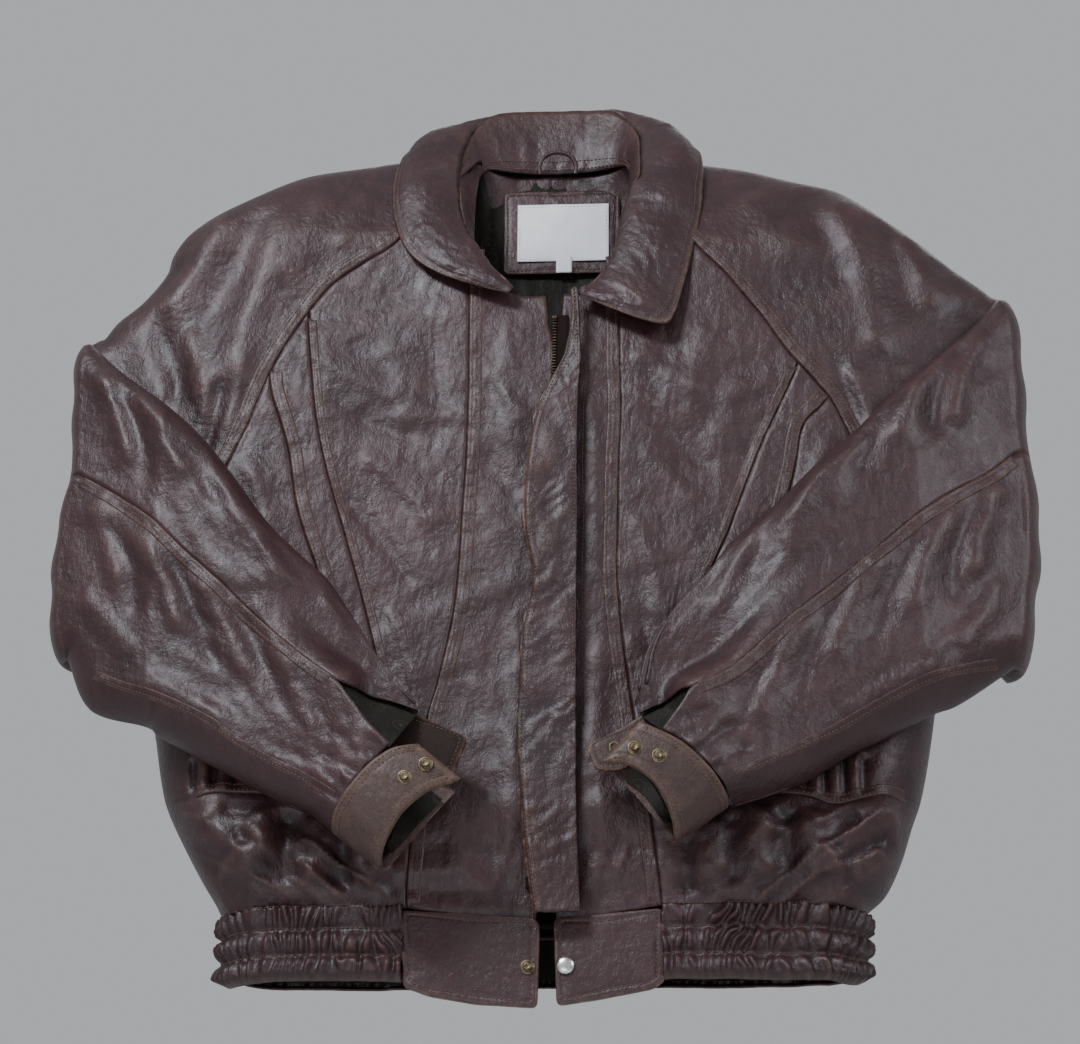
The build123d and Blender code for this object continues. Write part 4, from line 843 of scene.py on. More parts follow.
NZ, NX = 190, 150
tt = np.linspace(0, 1, 74)
yoke_split = 0.36
YK_L, YK_R = cut(BRAG_L, 0, yoke_split), cut(BRAG_R, 0, yoke_split)
YK_BOT = [YK_L[-1], (-60, YK_L[-1][1] - 8), (0, YK_L[-1][1] - 10), (60, YK_R[-1][1] - 8), YK_R[-1]]
P = coons_at(BACK_NECK, YK_BOT, YK_L, YK_R, np.linspace(0, 1, 56), np.linspace(0, 1, 92))
sheet_piece("back_yoke", P, back_any, "torso", sign=1, sink=[YK_BOT, BRAG_L, BRAG_R], repl=["back_yoke"])
BL_L = np.vstack([cut(BRAG_L, yoke_split, 1), cut(SIDE_L, place(SIDE_L, (-304, -412)), 1)[1:]])
BL_R = np.vstack([cut(BRAG_R, yoke_split, 1), cut(SIDE_R, place(SIDE_R, (289, -414)), 1)[1:]])
P = coons_at(YK_BOT, [(-240, -662), (-120, -664), (0, -664), (120, -664), (228, -662)], BL_L, BL_R, np.linspace(0, 1, 180), edge_rows(190))
sheet_piece("back_panel", P, back_any, "torso", sign=1, sink=[YK_BOT, BRAG_L, BRAG_R], repl=["back_panel"])
seam("back_yoke_seam", YK_BOT, back_any, "torso", side=1, sign=1, seed=12)
seam("back_raglan_seam_left", cut(BRAG_L, 0.05, 0.98), back_any, "torso", side=1, sign=1, seed=13)
seam("back_raglan_seam_right", cut(BRAG_R, 0.05, 0.98), back_any, "torso", side=-1, sign=1, seed=14)


# ------------------------------------------------------------------ sleeves
def sheet3(name, V, out, body=None, mat=M_LEATHER, thick=1.8, wear=None, painted_shade=None, blend=None, repl=(), offset=-1.0):
    """A sheet from an (n, m, 3) grid with its outside toward the direction out."""
    n, m = V.shape[:2]
    F = grid_faces(n, m)
    W = V.reshape(-1, 3)
    a = np.cross(W[F[:, 1]] - W[F[:, 0]], W[F[:, 2]] - W[F[:, 0]])
    if (a @ A(out, float)).sum() < 0:
        F = F[:, ::-1]
    ob = mesh(name, W, F, mat, attrs={"wear": np.zeros((n, m)) if wear is None else wear, "painted_shade": np.zeros((n, m)) if painted_shade is None else painted_shade})
    if thick:
        solidify(ob, thick, offset)
    if blend:
        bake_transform(ob)
    else:
        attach(ob, body)
    if repl:
        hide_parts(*repl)
    return ob


SIDES = {
    "left": dict(sg=-1, x0=-372, top=SHOULDER_L, rag=RAG_L, brag=BRAG_L, under=list(cut(SIDE_L, 0, place(SIDE_L, (-304, -412)))[::-1]),
                 crease=[(-362, -178), (-362.5, -222), (-360, -269), (-357.5, -318), (-363, -342), (-367, -376), (-367, -426), (-363, -460)],
                 fcrease=[(-361, -205), (-362, -240), (-360, -280), (-358, -320), (-363, -344), (-367, -380), (-367, -430), (-362, -468)],
                 at=[(-361, -205), (-333.3, -233.8)] + ARM_TOP_L[2:], ab=[(-362, -468)] + ARM_BOT_L[1:], seam=[(-358, -327)] + ARM_SEAM_L[2:], low=[(-338, -493)] + ARM_LOW_L[2:], ts=0.46,
                 lip_up=[(-132, -518), (-112, -523), (-92, -530)], lip_low=[(-141, -526), (-130, -541), (-118, -556), (-108, -567)],
                 cuff=[(-108, -567), (-122.5, -580), (-137.5, -598), (-146.2, -611), (-150, -621)], rear=[(-94, -524), (-104, -560), (-124, -590), (-150, -620)]),
    "right": dict(sg=1, x0=354, top=SHOULDER_R, rag=RAG_R, brag=BRAG_R, under=list(cut(SIDE_R, 0, place(SIDE_R, (289, -414)))[::-1]),
                  crease=[(348, -155), (350.4, -205), (350.9, -249), (350.6, -294), (354, -328), (355.8, -362), (353.8, -394), (349.7, -427), (342, -476)],
                  fcrease=[(346, -180), (350, -215), (350.9, -255), (350.6, -297), (354, -330), (355.8, -364), (353.8, -396), (349.7, -430), (342, -484)],
                  at=[(346, -180), (325, -206)] + ARM_TOP_R[2:], ab=[(342, -484)] + ARM_BOT_R[1:], seam=[(351, -318)] + ARM_SEAM_R[2:], low=[(332, -489)] + ARM_LOW_R[1:], ts=0.45,
                  lip_up=[(96, -524), (84, -527), (68, -534)], lip_low=[(100, -535), (92, -547), (84, -558)],
                  cuff=[(84, -558), (97, -566), (114, -580.5), (126, -594), (131.5, -604)], rear=[(72, -512), (84, -548), (106, -576), (132, -602)]),
}

FOLDS_ARM = {
    "left": [([(-352, -236), (-330, -280), (-318, -330)], 9, 3.6, 0.2), ([(-336, -250), (-312, -300), (-296, -350)], 8, -3.4, 0.0),
             ([(-316, -262), (-290, -306), (-270, -350)], 9, 3.0, 0.2), ([(-290, -300), (-262, -330), (-240, -372)], 8, -2.4, 0.0),
             ([(-262, -310), (-238, -350), (-222, -400)], 8, 2.6, 0.0), ([(-226, -366), (-208, -402), (-190, -440)], 7, 2.2, 0.0),
             ([(-210, -390), (-184, -420), (-160, -452)], 7, -2.0, 0.0), ([(-180, -424), (-156, -452), (-140, -486)], 7, 2.0, 0.0),
             ([(-352, -346), (-330, -384), (-316, -430)], 10, 3.8, 0.2), ([(-336, -364), (-312, -410), (-300, -460)], 8, -3.4, 0.0),
             ([(-312, -376), (-284, -424), (-266, -474)], 9, 3.2, 0.2), ([(-352, -420), (-330, -452), (-300, -486)], 9, 2.8, 0.0),
             ([(-286, -400), (-260, -446), (-240, -500)], 8, -2.8, 0.0), ([(-262, -420), (-232, -466), (-214, -516)], 8, 2.8, 0.0),
             ([(-236, -446), (-206, -486), (-186, -540)], 8, -2.4, 0.0), ([(-206, -474), (-180, -512), (-160, -560)], 8, 2.6, 0.0),
             ([(-186, -500), (-160, -540), (-146, -580)], 6, -2.0, 0.0), ([(-300, -500), (-260, -520), (-220, -545)], 7, 2.0, 0.0)],
    "right": [([(334, -214), (312, -262), (304, -310)], 9, 3.6, -0.2), ([(318, -226), (296, -270), (284, -320)], 8, -3.4, 0.0),
              ([(300, -240), (274, -286), (258, -330)], 9, 3.0, 0.0), ([(270, -270), (246, -310), (228, -356)], 8, -2.4, 0.0),
              ([(246, -296), (222, -336), (206, -382)], 8, 2.6, 0.0), ([(216, -330), (190, -372), (172, -420)], 7, 2.2, 0.0),
              ([(190, -352), (160, -396), (144, -440)], 7, -2.0, 0.0), ([(160, -386), (136, -420), (120, -466)], 7, 2.2, 0.0),
              ([(344, -340), (322, -380), (312, -430)], 10, 3.8, -0.2), ([(326, -352), (304, -400), (294, -452)], 8, -3.4, 0.0),
              ([(306, -366), (280, -412), (262, -466)], 9, 3.2, 0.0), ([(338, -420), (318, -456), (296, -488)], 9, 2.8, 0.0),
              ([(280, -388), (252, -436), (234, -490)], 8, -2.8, 0.0), ([(252, -410), (222, -456), (204, -508)], 8, 2.8, 0.0),
              ([(226, -434), (196, -478), (178, -534)], 8, -2.4, 0.0), ([(196, -460), (168, -506), (150, -556)], 8, 2.6, 0.0),
              ([(170, -490), (144, -530), (132, -574)], 6, -2.0, 0.0), ([(290, -492), (250, -512), (210, -540)], 7, 2.0, 0.0)],
}


def arm_y(X, Z, sd, rear=False, rough=True):
    S = SIDES[sd]
    d = np.abs(X - S["x0"])
    if rear:
        lev = np.interp(d, [0, 12, 80, 150, 200, 240, 300], [-40, -43, -69, -76, -83, -97, -97])
    else:
        lev = np.interp(d, [0, 12, 80, 150, 200, 240, 300], [-76, -82, -111, -121, -131, -143, -147])
    ym = np.interp(d, [0, 240, 300], [-58, -108, -116])
    if "atc" not in S:
        S["atc"], S["abc"] = curve(S["at"], 150), curve(S["ab"], 150)
    dt, _, _ = pdist(X, Z, S["atc"])
    db, _, _ = pdist(X, Z, S["abc"])
    if not rear:
        ds, _, s_ = pdist(X, Z, S["seam"])
        up = np.where(s_ * (-S["sg"]) > 0, 1.0, 0.0)
        lev = lev + (np.minimum(-112 - lev, 0) * -1) * 0 + up * sm((d - 150) / 90.0) * sm(ds / 26.0) * (-108 - lev) * 0.9
    y = ym + (lev - ym) * arc(dt / 22.0) * arc(db / 22.0)
    if not rough:
        return y
    if rear:
        b = 1.2 * vnoise(X / 30.0, Z / 30.0, 131)
        return y + b * sm(np.minimum(dt, db) / 14.0)
    b = np.zeros(np.shape(X))
    for pts, w, h, lean in FOLDS_ARM[sd]:
        b += stroke(X, Z, pts, w, h * 1.1, lean)
    for k, (f, ln, tw) in enumerate([(0.05, 26, 4), (0.17, 40, -6), (0.30, 30, 5), (0.44, 46, -3), (0.58, 30, 6), (0.72, 38, -4), (0.87, 26, 3)]):
        c0 = at_frac(curve(S["cuff"], 40), f)
        dirn = A([-0.78, 0.62]) if sd == "left" else A([0.78, 0.62])
        side_ = A([dirn[1], -dirn[0]])
        b += stroke(X, Z, [c0 - dirn * 6, c0 + dirn * ln * 0.5 + side_ * tw, c0 + dirn * ln], 4.2, 2.6 if k % 2 == 0 else -3.0, 0.0, 0.3)
    u, v = turned(X, Z, 55 * (1 if sd == "right" else -1) + (0 if sd == "right" else 0), 8.0, 26.0, 23)
    b += 0.8 * (ridged(u, v, 141) - 0.45)
    u, v = turned(X, Z, (42 if sd == "right" else -42), 10.0, 60.0, 29)
    b += 0.8 * vnoise(u, v, 151)
    b += 2.0 * vnoise(X / 46.0, Z / 46.0, 161) + 0.4 * fbm(X / 8.0, Z / 8.0, 171, 3)
    return y - b * sm(np.minimum(dt, db) / 12.0) * (0.35 + 0.65 * sm(d / 30.0))


def resample(P, n):
    return curve(P, n) if len(P) < 60 else curve(A(P)[::max(1, len(P) // 40)], n)


def sleeve_sheet(sd, outer, t0, t1, inset=0.0, step=3.0):
    """Upper sleeve, wrap round the crease, and forearm, as one (n, m, 3) grid from t0 to t1 across the arm."""
    S = SIDES[sd]
    sg = S["sg"]
    n = max(6, int(280 * (t1 - t0) / step))
    tt = np.linspace(t0, t1, n)
    root = S["brag"] if outer else S["rag"]
    root = [S["top"][0]] + list(root[1:-1]) + [S["under"][0]]
    mA = int(320 / step)
    sA = np.linspace(0, 1, mA)
    rowsA = t_rows(t0, t1, n)
    PA = coons_at(S["top"], S["under"], root, S["crease"], rowsA, sA)
    yA = (back_y if outer else front_y)(PA[..., 0], PA[..., 1]) - (inset if outer else -inset)
    if not outer and sd == "left":            # ease the leather where the sleeve turns under
        ease = sm(1 - (np.hypot(PA[..., 0] + 326, PA[..., 1] + 219) - 12) / 26.0)
        for _ in range(16):
            Q = np.pad(yA, 1, mode="edge")
            yA = yA * (1 - ease) + ease * (Q[:-2, 1:-1] + Q[2:, 1:-1] + Q[1:-1, :-2] + Q[1:-1, 2:] + 4 * yA) / 8
    # forearm: above and below its seam
    ts = S["ts"]
    k = 300
    top, bot, mid = curve(S["at"], k), curve(S["ab"], k), curve(S["seam"], k)
    fc = curve(S["fcrease"], k)
    mid_up, mid_low = curve(S["seam"] + S["lip_up"], k), curve(S["seam"] + S["lip_low"], k)
    end_t, end_m = top[-1], mid_up[-1]
    ends = curve(S["cuff"] if outer else S["rear"], 60)
    mB = int(330 / step)
    sB = np.linspace(0, 1, mB)
    u = np.linspace(0, 1, k)
    PB = np.empty((n, mB, 2))
    iseam = int(np.argmin(np.hypot(fc[:, 0] - mid[0][0], fc[:, 1] - mid[0][1])))
    up_crease, lo_crease = fc[:iseam + 1], fc[iseam:]
    for i, t in enumerate(rowsA):
        if not outer:
            q = t
            e0 = at_frac(up_crease, t / ts) if t <= ts else at_frac(lo_crease, (t - ts) / (1 - ts))
            e1 = at_frac(ends, q)
            T_, B_ = top, bot
        elif t < ts or (t == ts and t1 == ts):
            q = t / ts
            e0 = at_frac(up_crease, q)
            e1 = end_t * (1 - q) + end_m * q
            T_, B_ = top, mid_up
        else:
            q = (t - ts) / (1 - ts)
            e0 = at_frac(lo_crease, q)
            e1 = at_frac(ends, q)
            T_, B_ = mid_low, bot
        a_ = np.stack([np.interp(sB, u, T_[:, c]) for c in range(2)], 1)
        b_ = np.stack([np.interp(sB, u, B_[:, c]) for c in range(2)], 1)
        lin = a_ * (1 - q) + b_ * q
        fix0 = e0 - lin[0]
        fix1 = e1 - lin[-1]
        PB[i] = lin + fix0[None] * (1 - sB)[:, None] + fix1[None] * sB[:, None]
    yB = arm_y(PB[..., 0], PB[..., 1], sd, rear=not outer) + (inset if outer else -inset)
    for r, edge in ((0, t0 == 0.0), (-1, t1 == 1.0)):
        if edge and not inset:
            yA[r] = ymid(PA[r, :, 0], PA[r, :, 1])
            yB[r] = np.interp(np.abs(PB[r, :, 0] - S["x0"]), [0, 240, 300], [-58, -108, -116])
    # wrap
    sig = arc(np.minimum(rowsA, 1 - rowsA) / 0.10)
    rx = 14.0 * (0.55 + 0.45 * sig) if outer else 14.0 * (0.55 - 0.48 * sig)
    rx = rx - (inset if outer else -min(inset, 1.0) * 0)
    mW = 22 if outer else 12
    ph = np.linspace(0, np.pi, mW + 2)[1:-1]
    h = (1 - np.cos(ph)) / 2
    W = np.empty((n, mW, 3))
    rip = 1.0 + 0.12 * vnoise(rowsA * 11.0, np.zeros(n), 181)
    W[..., 0] = PA[:, -1:, 0] * (1 - h) + PB[:, :1, 0] * h + sg * (rx * rip)[:, None] * np.sin(ph)[None]
    W[..., 1] = yA[:, -1:] * (1 - h) + yB[:, :1] * h
    W[..., 2] = PA[:, -1:, 1] * (1 - h) + PB[:, :1, 1] * h
    VA = np.stack([PA[..., 0], yA, PA[..., 1]], -1)
    VB = np.stack([PB[..., 0], yB, PB[..., 1]], -1)
    return np.concatenate([VA, W, VB], 1)


def t_rows(t0, t1, n):
    """Row places, closer together at the two edges of the arm."""
    full = lambda q: 0.5 - 0.5 * np.cos(np.pi * q)
    a = math.acos(1 - 2 * t0) / math.pi
    b = math.acos(1 - 2 * t1) / math.pi
    r = full(np.linspace(a, b, n))
    r[0], r[-1] = t0, t1
    return r


def at_frac(C, q):
    L = np.r_[0, np.cumsum(np.linalg.norm(np.diff(C, axis=0), axis=1))]
    return A([np.interp(q * L[-1], L, C[:, c]) for c in range(2)])


def blend_args(sd, wide):
    """The plane where the torso side hands over to the forearm side."""
    S = SIDES[sd]
    sg = S["sg"]
    n = Vector((0.2 * sg, -1.0, 0.0)).normalized()
    c = Vector((S["x0"] * MM, -0.03875 if wide else -0.0430, -0.328))
    a, b = (0.0245, 0.0168) if wide else (0.0012, 0.0026)
    return ("torso", "forearm_" + sd, tuple(c - n * a), tuple(c + n * b))


# painted shade in the hollows, and wear on the ridges
def shade_and_ridge_wear(V, out_y):
    H = V[..., 1] * out_y
    return np.clip(cavity(H) * 0.5, 0, 1), np.clip(-cavity(H) * 0.25, 0, 0.35)


for sd in ("left", "right"):
    S = SIDES[sd]
    sg, ts = S["sg"], S["ts"]
    wide, sharp = blend_args(sd, True), blend_args(sd, False)
    for nm, t0, t1, rp in (("up", 0.0, ts, ["forearm_upper_" + sd, "sleeve_back_" + sd]), ("low", ts, 1.0, ["forearm_lower_" + sd])):
        V = sleeve_sheet(sd, True, t0, t1)
        # painted shade in the fold hollows, left off the back part of the sleeve
        sleeve_painted_shade, rd = shade_and_ridge_wear(V, -1.0)
        col = np.arange(V.shape[1])
        isback = col < V.shape[1] * 0.42
        sleeve_painted_shade[:, isback] = 0
        w = rd.copy()
        n_, m_ = V.shape[:2]
        F = grid_faces(n_, m_)
        Wv = V.reshape(-1, 3)
        jb = int(m_ * 0.2)
        q = (n_ // 2) * m_ + jb
        nr = np.cross(Wv[q + m_] - Wv[q], Wv[q + m_ + 1] - Wv[q])
        if nr[1] < 0:
            F = F[:, ::-1]
        ob = mesh("sleeve_outer_%s_%s" % (nm, sd), Wv, F, M_LEATHER, attrs={"wear": w, "painted_shade": sleeve_painted_shade})
        solidify(ob, 1.8)
        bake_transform(ob)
        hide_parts(*rp)
    V = sleeve_sheet(sd, False, 0.0, 1.0)
    n_, m_ = V.shape[:2]
    F = grid_faces(n_, m_)
    Wv = V.reshape(-1, 3)
    q = (n_ // 2) * m_ + int(m_ * 0.2)
    nr = np.cross(Wv[q + m_] - Wv[q], Wv[q + m_ + 1] - Wv[q])
    if nr[1] > 0:
        F = F[:, ::-1]
    sleeve_painted_shade, rd = shade_and_ridge_wear(V, -1.0)
    d_side = pdist(V[..., 0], V[..., 2], S["rag"])[0]
    isB = np.arange(m_)[None, :] > m_ * 0.5
    # painted shade: the under part of the forearm is darkened evenly
    sleeve_painted_shade = np.where(isB, 0.3, sleeve_painted_shade)
    k_ = int(320 / 3.0) + 12                     # last column of the fold
    rdB = np.where(isB, 0, rd)
    for nm, sl, bd in (("sleeve_inner_" + sd, slice(0, k_ + 1), "torso"), ("sleeve_under_" + sd, slice(k_, None), "forearm_" + sd)):
        G = grid_faces(n_, V[:, sl].shape[1])
        if nr[1] > 0:
            G = G[:, ::-1]
        ob = mesh(nm, V[:, sl].reshape(-1, 3), G, M_LEATHER, attrs={"wear": rdB[:, sl], "painted_shade": sleeve_painted_shade[:, sl]})
        solidify(ob, 1.8)
        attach(ob, bd)
        if bd == "torso":
            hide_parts("sleeve_front_" + sd)
    # linings, one under each sheet
    for nm, outer, bl, rp in (("outer", True, wide, ["forearm_lining_" + sd]), ("inner", False, sharp, ["sleeve_lining_" + sd])):
        V = sleeve_sheet(sd, outer, 0.03, 0.97, inset=6.2, step=5.0)
        for part, sl, bd in (("arm", slice(0, 64), "torso"), ("fore", slice(64 + (22 if outer else 12), None), "forearm_" + sd)):
            U = V[:, sl]
            ob = mesh("sleeve_lining_%s_%s_%s" % (nm, part, sd), U.reshape(-1, 3), grid_faces(*U.shape[:2]), M_LINING)
            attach(ob, bd)
            if (bd == "torso") != outer:
                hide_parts(*rp)
    fy = lambda X, Z, sd=sd: arm_y(A(X, float), A(Z, float), sd)
    seam("arm_seam_" + sd, cut(S["seam"], 0.01, 1.0), fy, None, side=sg, seed=20 + sg, blend=wide, width=8.5)
    seam("arm_lower_seam_" + sd, cut(S["low"], 0.0, 1.0), fy, None, side=-sg, seed=24 + sg, blend=wide, width=6.0, high=0.8, rows=(2.6,))


# -------------------------------------------------------------------- cuffs
def band(name, C1, C2, thick, body, out, n=80, mat=M_LEATHER, edge_wear=0.9, repl=(), rows=(4.0,), both=True, bulge=0.8, seed=3):
    """A strip between two 3-D lines, with thickness, soft edges and closed ends."""
    P1, P2 = curve(C1, n), curve(C2, n)
    T = np.gradient(0.5 * (P1 + P2), axis=0)
    T /= np.linalg.norm(T, axis=1, keepdims=True)
    W = P2 - P1
    L = np.linalg.norm(W, axis=1)
    Wn = W / L[:, None]
    N = np.cross(T, Wn)
    N /= np.linalg.norm(N, axis=1, keepdims=True)
    if (N[n // 6] @ A(out, float)) < 0:
        N = -N
    k = 26
    us = np.r_[0, 0.6, 1.4, 2.6, 4.2]
    prof = []                                   # (place across in mm from one edge, height)
    across = lambda Lx: np.r_[us, np.linspace(6.5, Lx - 6.5, k), Lx - us[::-1]]
    nn = 2 * len(us) + k
    V = np.empty((n, 2 * nn, 3))
    hs = np.r_[-0.5, 0.06, 0.34, 0.47, 0.5]
    sarc = np.arange(n) * float(L.mean()) * 0 + np.r_[0, np.cumsum(np.linalg.norm(np.diff(P1, axis=0), axis=1))]
    for i in range(n):
        a = across(L[i])
        e = min(1.0, min(i, n - 1 - i) / 2.0)
        th = thick * (0.25 + 0.75 * e)
        hh = np.r_[hs, np.full(k, 0.5), hs[::-1]] * th
        hh = hh + bulge * np.sin(np.pi * a / L[i]) ** 2 * e
        for r in rows:
            hh = hh - 0.45 * np.exp(-((a - r) / 0.9) ** 2) - 0.45 * np.exp(-((a - (L[i] - r)) / 0.9) ** 2)
        hh = hh + 0.35 * vnoise(a / 7.0, np.full(a.shape, sarc[i] / 7.0), seed) * e
        V[i, :nn] = P1[i] + Wn[i] * a[:, None] + N[i] * hh[:, None]
        lo = np.r_[-0.5, -0.5, -0.5, -0.5, -0.5]
        hb = np.full(nn, -0.5) * th
        V[i, nn:] = (P1[i] + Wn[i] * a[:, None] + N[i] * hb[:, None])[::-1]
    m = 2 * nn
    F = grid_faces(n, m, wrap_m=True)
    c0, c1 = V[0].mean(0), V[-1].mean(0)
    Vf = np.vstack([V.reshape(-1, 3), c0[None], c1[None]])
    i0, i1 = len(Vf) - 2, len(Vf) - 1
    j = np.arange(m)
    caps = [[i0, (b + 1) % m, b] for b in j] + [[i1, (n - 1) * m + b, (n - 1) * m + (b + 1) % m] for b in j]
    edge = np.r_[1, 1, 1, 0.85, 0.5]
    wr = np.r_[edge, 0.34, 0.26, np.full(k - 4, 0.10), 0.26, 0.34, edge[::-1]]
    w = np.concatenate([np.tile(wr, (n, 1)), np.tile(wr * 0.4, (n, 1))[:, ::-1]], 1) * edge_wear
    w *= (0.75 + 0.25 * vnoise(sarc / 9.0, np.zeros(n) + 2, seed + 4))[:, None]
    w[:3, :nn] = np.maximum(w[:3, :nn], 0.8 * edge_wear)
    wf = np.r_[w.ravel(), 1, 1]
    faces = [tuple(f) for f in F] + [tuple(f) for f in caps]
    vol = 0
    ob = mesh(name, Vf, faces, mat, attrs={"wear": wf, "painted_shade": np.zeros(len(wf))})
    bpy.context.view_layer.update()
    import bmesh
    bm = bmesh.new()
    bm.from_mesh(ob.data)
    bmesh.ops.recalc_face_normals(bm, faces=bm.faces)
    bm.to_mesh(ob.data)
    bm.free()
    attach(ob, body)
    if repl:
        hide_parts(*repl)
    lines, nrm = [], []
    for r in rows:
        for s_ in (r, None):
            a = (np.full(n, r) if s_ is not None else L - r)[:, None]
            lines.append((P1 + Wn * a + N * (0.5 * thick + 0.05))[3:-3])
            nrm.append(N[3:-3])
    a = (L * 0.0)[:, None]
    Q = np.linspace(rows[0], 1, 2)
    across_end = np.linspace(rows[0], float(L[3] - rows[0]), 12)[:, None]
    lines.append(P1[4] + Wn[4] * across_end + N[4] * (0.5 * thick + 0.35))
    nrm.append(np.tile(N[4], (12, 1)))
    stitch_rows(name + "_stitches", lines, body, normals=nrm)
    return P1, P2, N


CUFF = {
    "left": ([(-89, -143, -566), (-107, -145, -570), (-122.5, -145.5, -581), (-137.5, -143, -598), (-146.5, -136, -611), (-150, -123, -621), (-147.5, -110, -618), (-139, -102, -605), (-126, -99, -588), (-113, -98, -571), (-103, -98, -557)],
             [(-57, -143, -593), (-79, -146, -602), (-96.5, -146, -617), (-107, -142, -633), (-112.5, -135, -644), (-114, -123, -650), (-111, -109, -647), (-102, -100, -634), (-88, -97, -615), (-75, -96, -599), (-65, -96, -587)]),
    "right": ([(69, -143, -551), (84, -145, -559), (98, -145.5, -567), (114, -143, -581), (125, -136, -594), (131, -123, -604), (128, -110, -601), (119, -102, -588), (106, -99, -572), (94, -98, -558), (84, -98, -546)],
              [(41, -143, -582), (55, -146, -583), (73, -146, -593), (85, -142, -609), (91, -135, -624), (92, -123, -632), (89, -109, -629), (81, -100, -615), (69, -97, -598), (57, -96, -584), (48, -96, -573)]),
}
for sd in ("left", "right"):
    P1, P2, N = band("cuff_band_" + sd, CUFF[sd][0], CUFF[sd][1], 3.6, "forearm_" + sd, (0, -1, 0), mat=M_CUFF, repl=["cuff_band_" + sd], rows=(3.4, 7.4), seed=40)


def ribbon_end(name, front_line, rear_line, body, mat, bl=None):
    """A sheet that joins two 3-D lines of the same length."""
    n = 60
    a, b = curve(front_line, n), curve(rear_line, n)
    q = np.linspace(0, 1, 14)[None, :, None]
    V = a[:, None] * (1 - q) + b[:, None] * q
    ob = mesh(name, V.reshape(-1, 3), grid_faces(n, 14), mat)
    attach(ob, body)
    return ob


# dark lining in the mouth and the vent of each cuff
MOUTH = {
    "left": ([(-93, -140, -571), (-110, -141.5, -576), (-126, -140, -590), (-140, -134, -606), (-144, -123, -614), (-138, -108, -604), (-124, -102, -586), (-108, -101.5, -566)],
             [(-62, -140, -592), (-80, -142, -599), (-96, -141, -614), (-105, -133, -630), (-108, -123, -640), (-104, -108, -632), (-90, -101, -612), (-74, -100, -594)]),
    "right": ([(73, -140, -555), (88, -141.5, -566), (103, -140, -576), (118, -134, -590), (124, -123, -597), (116, -108, -584), (102, -102, -568), (88, -101.5, -552)],
              [(45, -140, -580), (58, -142, -582), (72, -141, -592), (83, -133, -607), (87, -123, -620), (82, -108, -612), (70, -101, -592), (56, -100, -580)]),
}
for sd in ("left", "right"):
    ribbon_end("cuff_mouth_lining_" + sd, MOUTH[sd][0], MOUTH[sd][1], "forearm_" + sd, M_LINING)


def plate(name, poly, y0, thick, body, mat=M_LEATHER, tilt=(0, 0), repl=(), wear=0.9, stitches=3.6, mat_front=None, bow=0.0):
    """A flat leather tab from an x, z outline, with soft edges and a stitched rim. y0 is its front."""
    P = A(poly, float)
    C = []
    k = len(P)
    for i in range(k):                           # rounded corners
        a, b, c = P[i - 1], P[i], P[(i + 1) % k]
        r = min(5.0, 0.35 * np.linalg.norm(a - b), 0.35 * np.linalg.norm(c - b))
        p0, p1 = b + (a - b) / np.linalg.norm(a - b) * r, b + (c - b) / np.linalg.norm(c - b) * r
        for t in np.linspace(0, 1, 6):
            C.append((1 - t) ** 2 * p0 + 2 * t * (1 - t) * b + t * t * p1)
    C = A(C)
    C = np.vstack([C, C[:1]])
    L = np.r_[0, np.cumsum(np.linalg.norm(np.diff(C, axis=0), axis=1))]
    n = int(L[-1] / 2.2)
    u = np.linspace(0, L[-1], n, endpoint=False)
    C = np.stack([np.interp(u, L, C[:, c]) for c in range(2)], 1)
    ctr = C.mean(0)
    ring, hs = [], []
    cols = [(0.0, -thick), (0.0, -thick * 0.45), (0.35, -0.35), (0.9, 0.0), (2.0, 0.1), (stitches - 0.8, 0.1), (stitches, -0.35), (stitches + 0.8, 0.1), (stitches + 3.0, 0.25)]
    V, wr = [], []
    d0 = np.linalg.norm(C - ctr, axis=1)
    inward = (ctr - C) / d0[:, None]
    for off, h in cols:
        Q = C + inward * off * 1.25
        V.append(np.stack([Q[:, 0], np.full(n, y0) - h, Q[:, 1]], 1))
        wr.append(np.full(n, np.clip(1.15 - off / 1.8, 0.05, 1) * wear))
    for f in (0.6, 0.3, 0.0):
        Q = ctr + (C + inward * (stitches + 3) * 1.25 - ctr) * f
        V.append(np.stack([Q[:, 0], np.full(n, y0 - 0.35), Q[:, 1]], 1))
        wr.append(np.full(n, 0.04))
    V = A(V)
    back = [np.stack([(ctr + (C - ctr) * f)[:, 0], np.full(n, y0 + thick), (ctr + (C - ctr) * f)[:, 1]], 1) for f in (0.0, 0.5)]
    V = np.concatenate([A(back), V], 0)
    wr = np.concatenate([np.full((2, n), 0.1), A(wr)], 0)
    X, Z = V[..., 0] - ctr[0], V[..., 2] - ctr[1]
    V[..., 1] += tilt[0] * X + tilt[1] * Z + bow * (X * X + Z * Z) / 400.0 + 0.5 * vnoise(V[..., 0] / 12, V[..., 2] / 12, 5)
    ob = mesh(name, V.reshape(-1, 3), grid_faces(len(V), n, wrap_m=True), mat, attrs={"wear": wr, "painted_shade": np.zeros(wr.shape)})
    import bmesh
    bm = bmesh.new()
    bm.from_mesh(ob.data)
    bmesh.ops.remove_doubles(bm, verts=bm.verts, dist=1e-6)
    bmesh.ops.recalc_face_normals(bm, faces=bm.faces)
    bm.to_mesh(ob.data)
    bm.free()
    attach(ob, body)
    if repl:
        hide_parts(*repl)
    S_ = C + inward * stitches * 1.25
    S_ = np.vstack([S_, S_[:1]])
    Y = y0 + tilt[0] * (S_[:, 0] - ctr[0]) + tilt[1] * (S_[:, 1] - ctr[1]) + bow * ((S_ - ctr) ** 2).sum(1) / 400.0 - 0.1 + 0.5 * vnoise(S_[:, 0] / 12, S_[:, 1] / 12, 5)
    stitch_rows(name + "_stitches", [np.stack([S_[:, 0], Y, S_[:, 1]], 1)], body)
    return ob


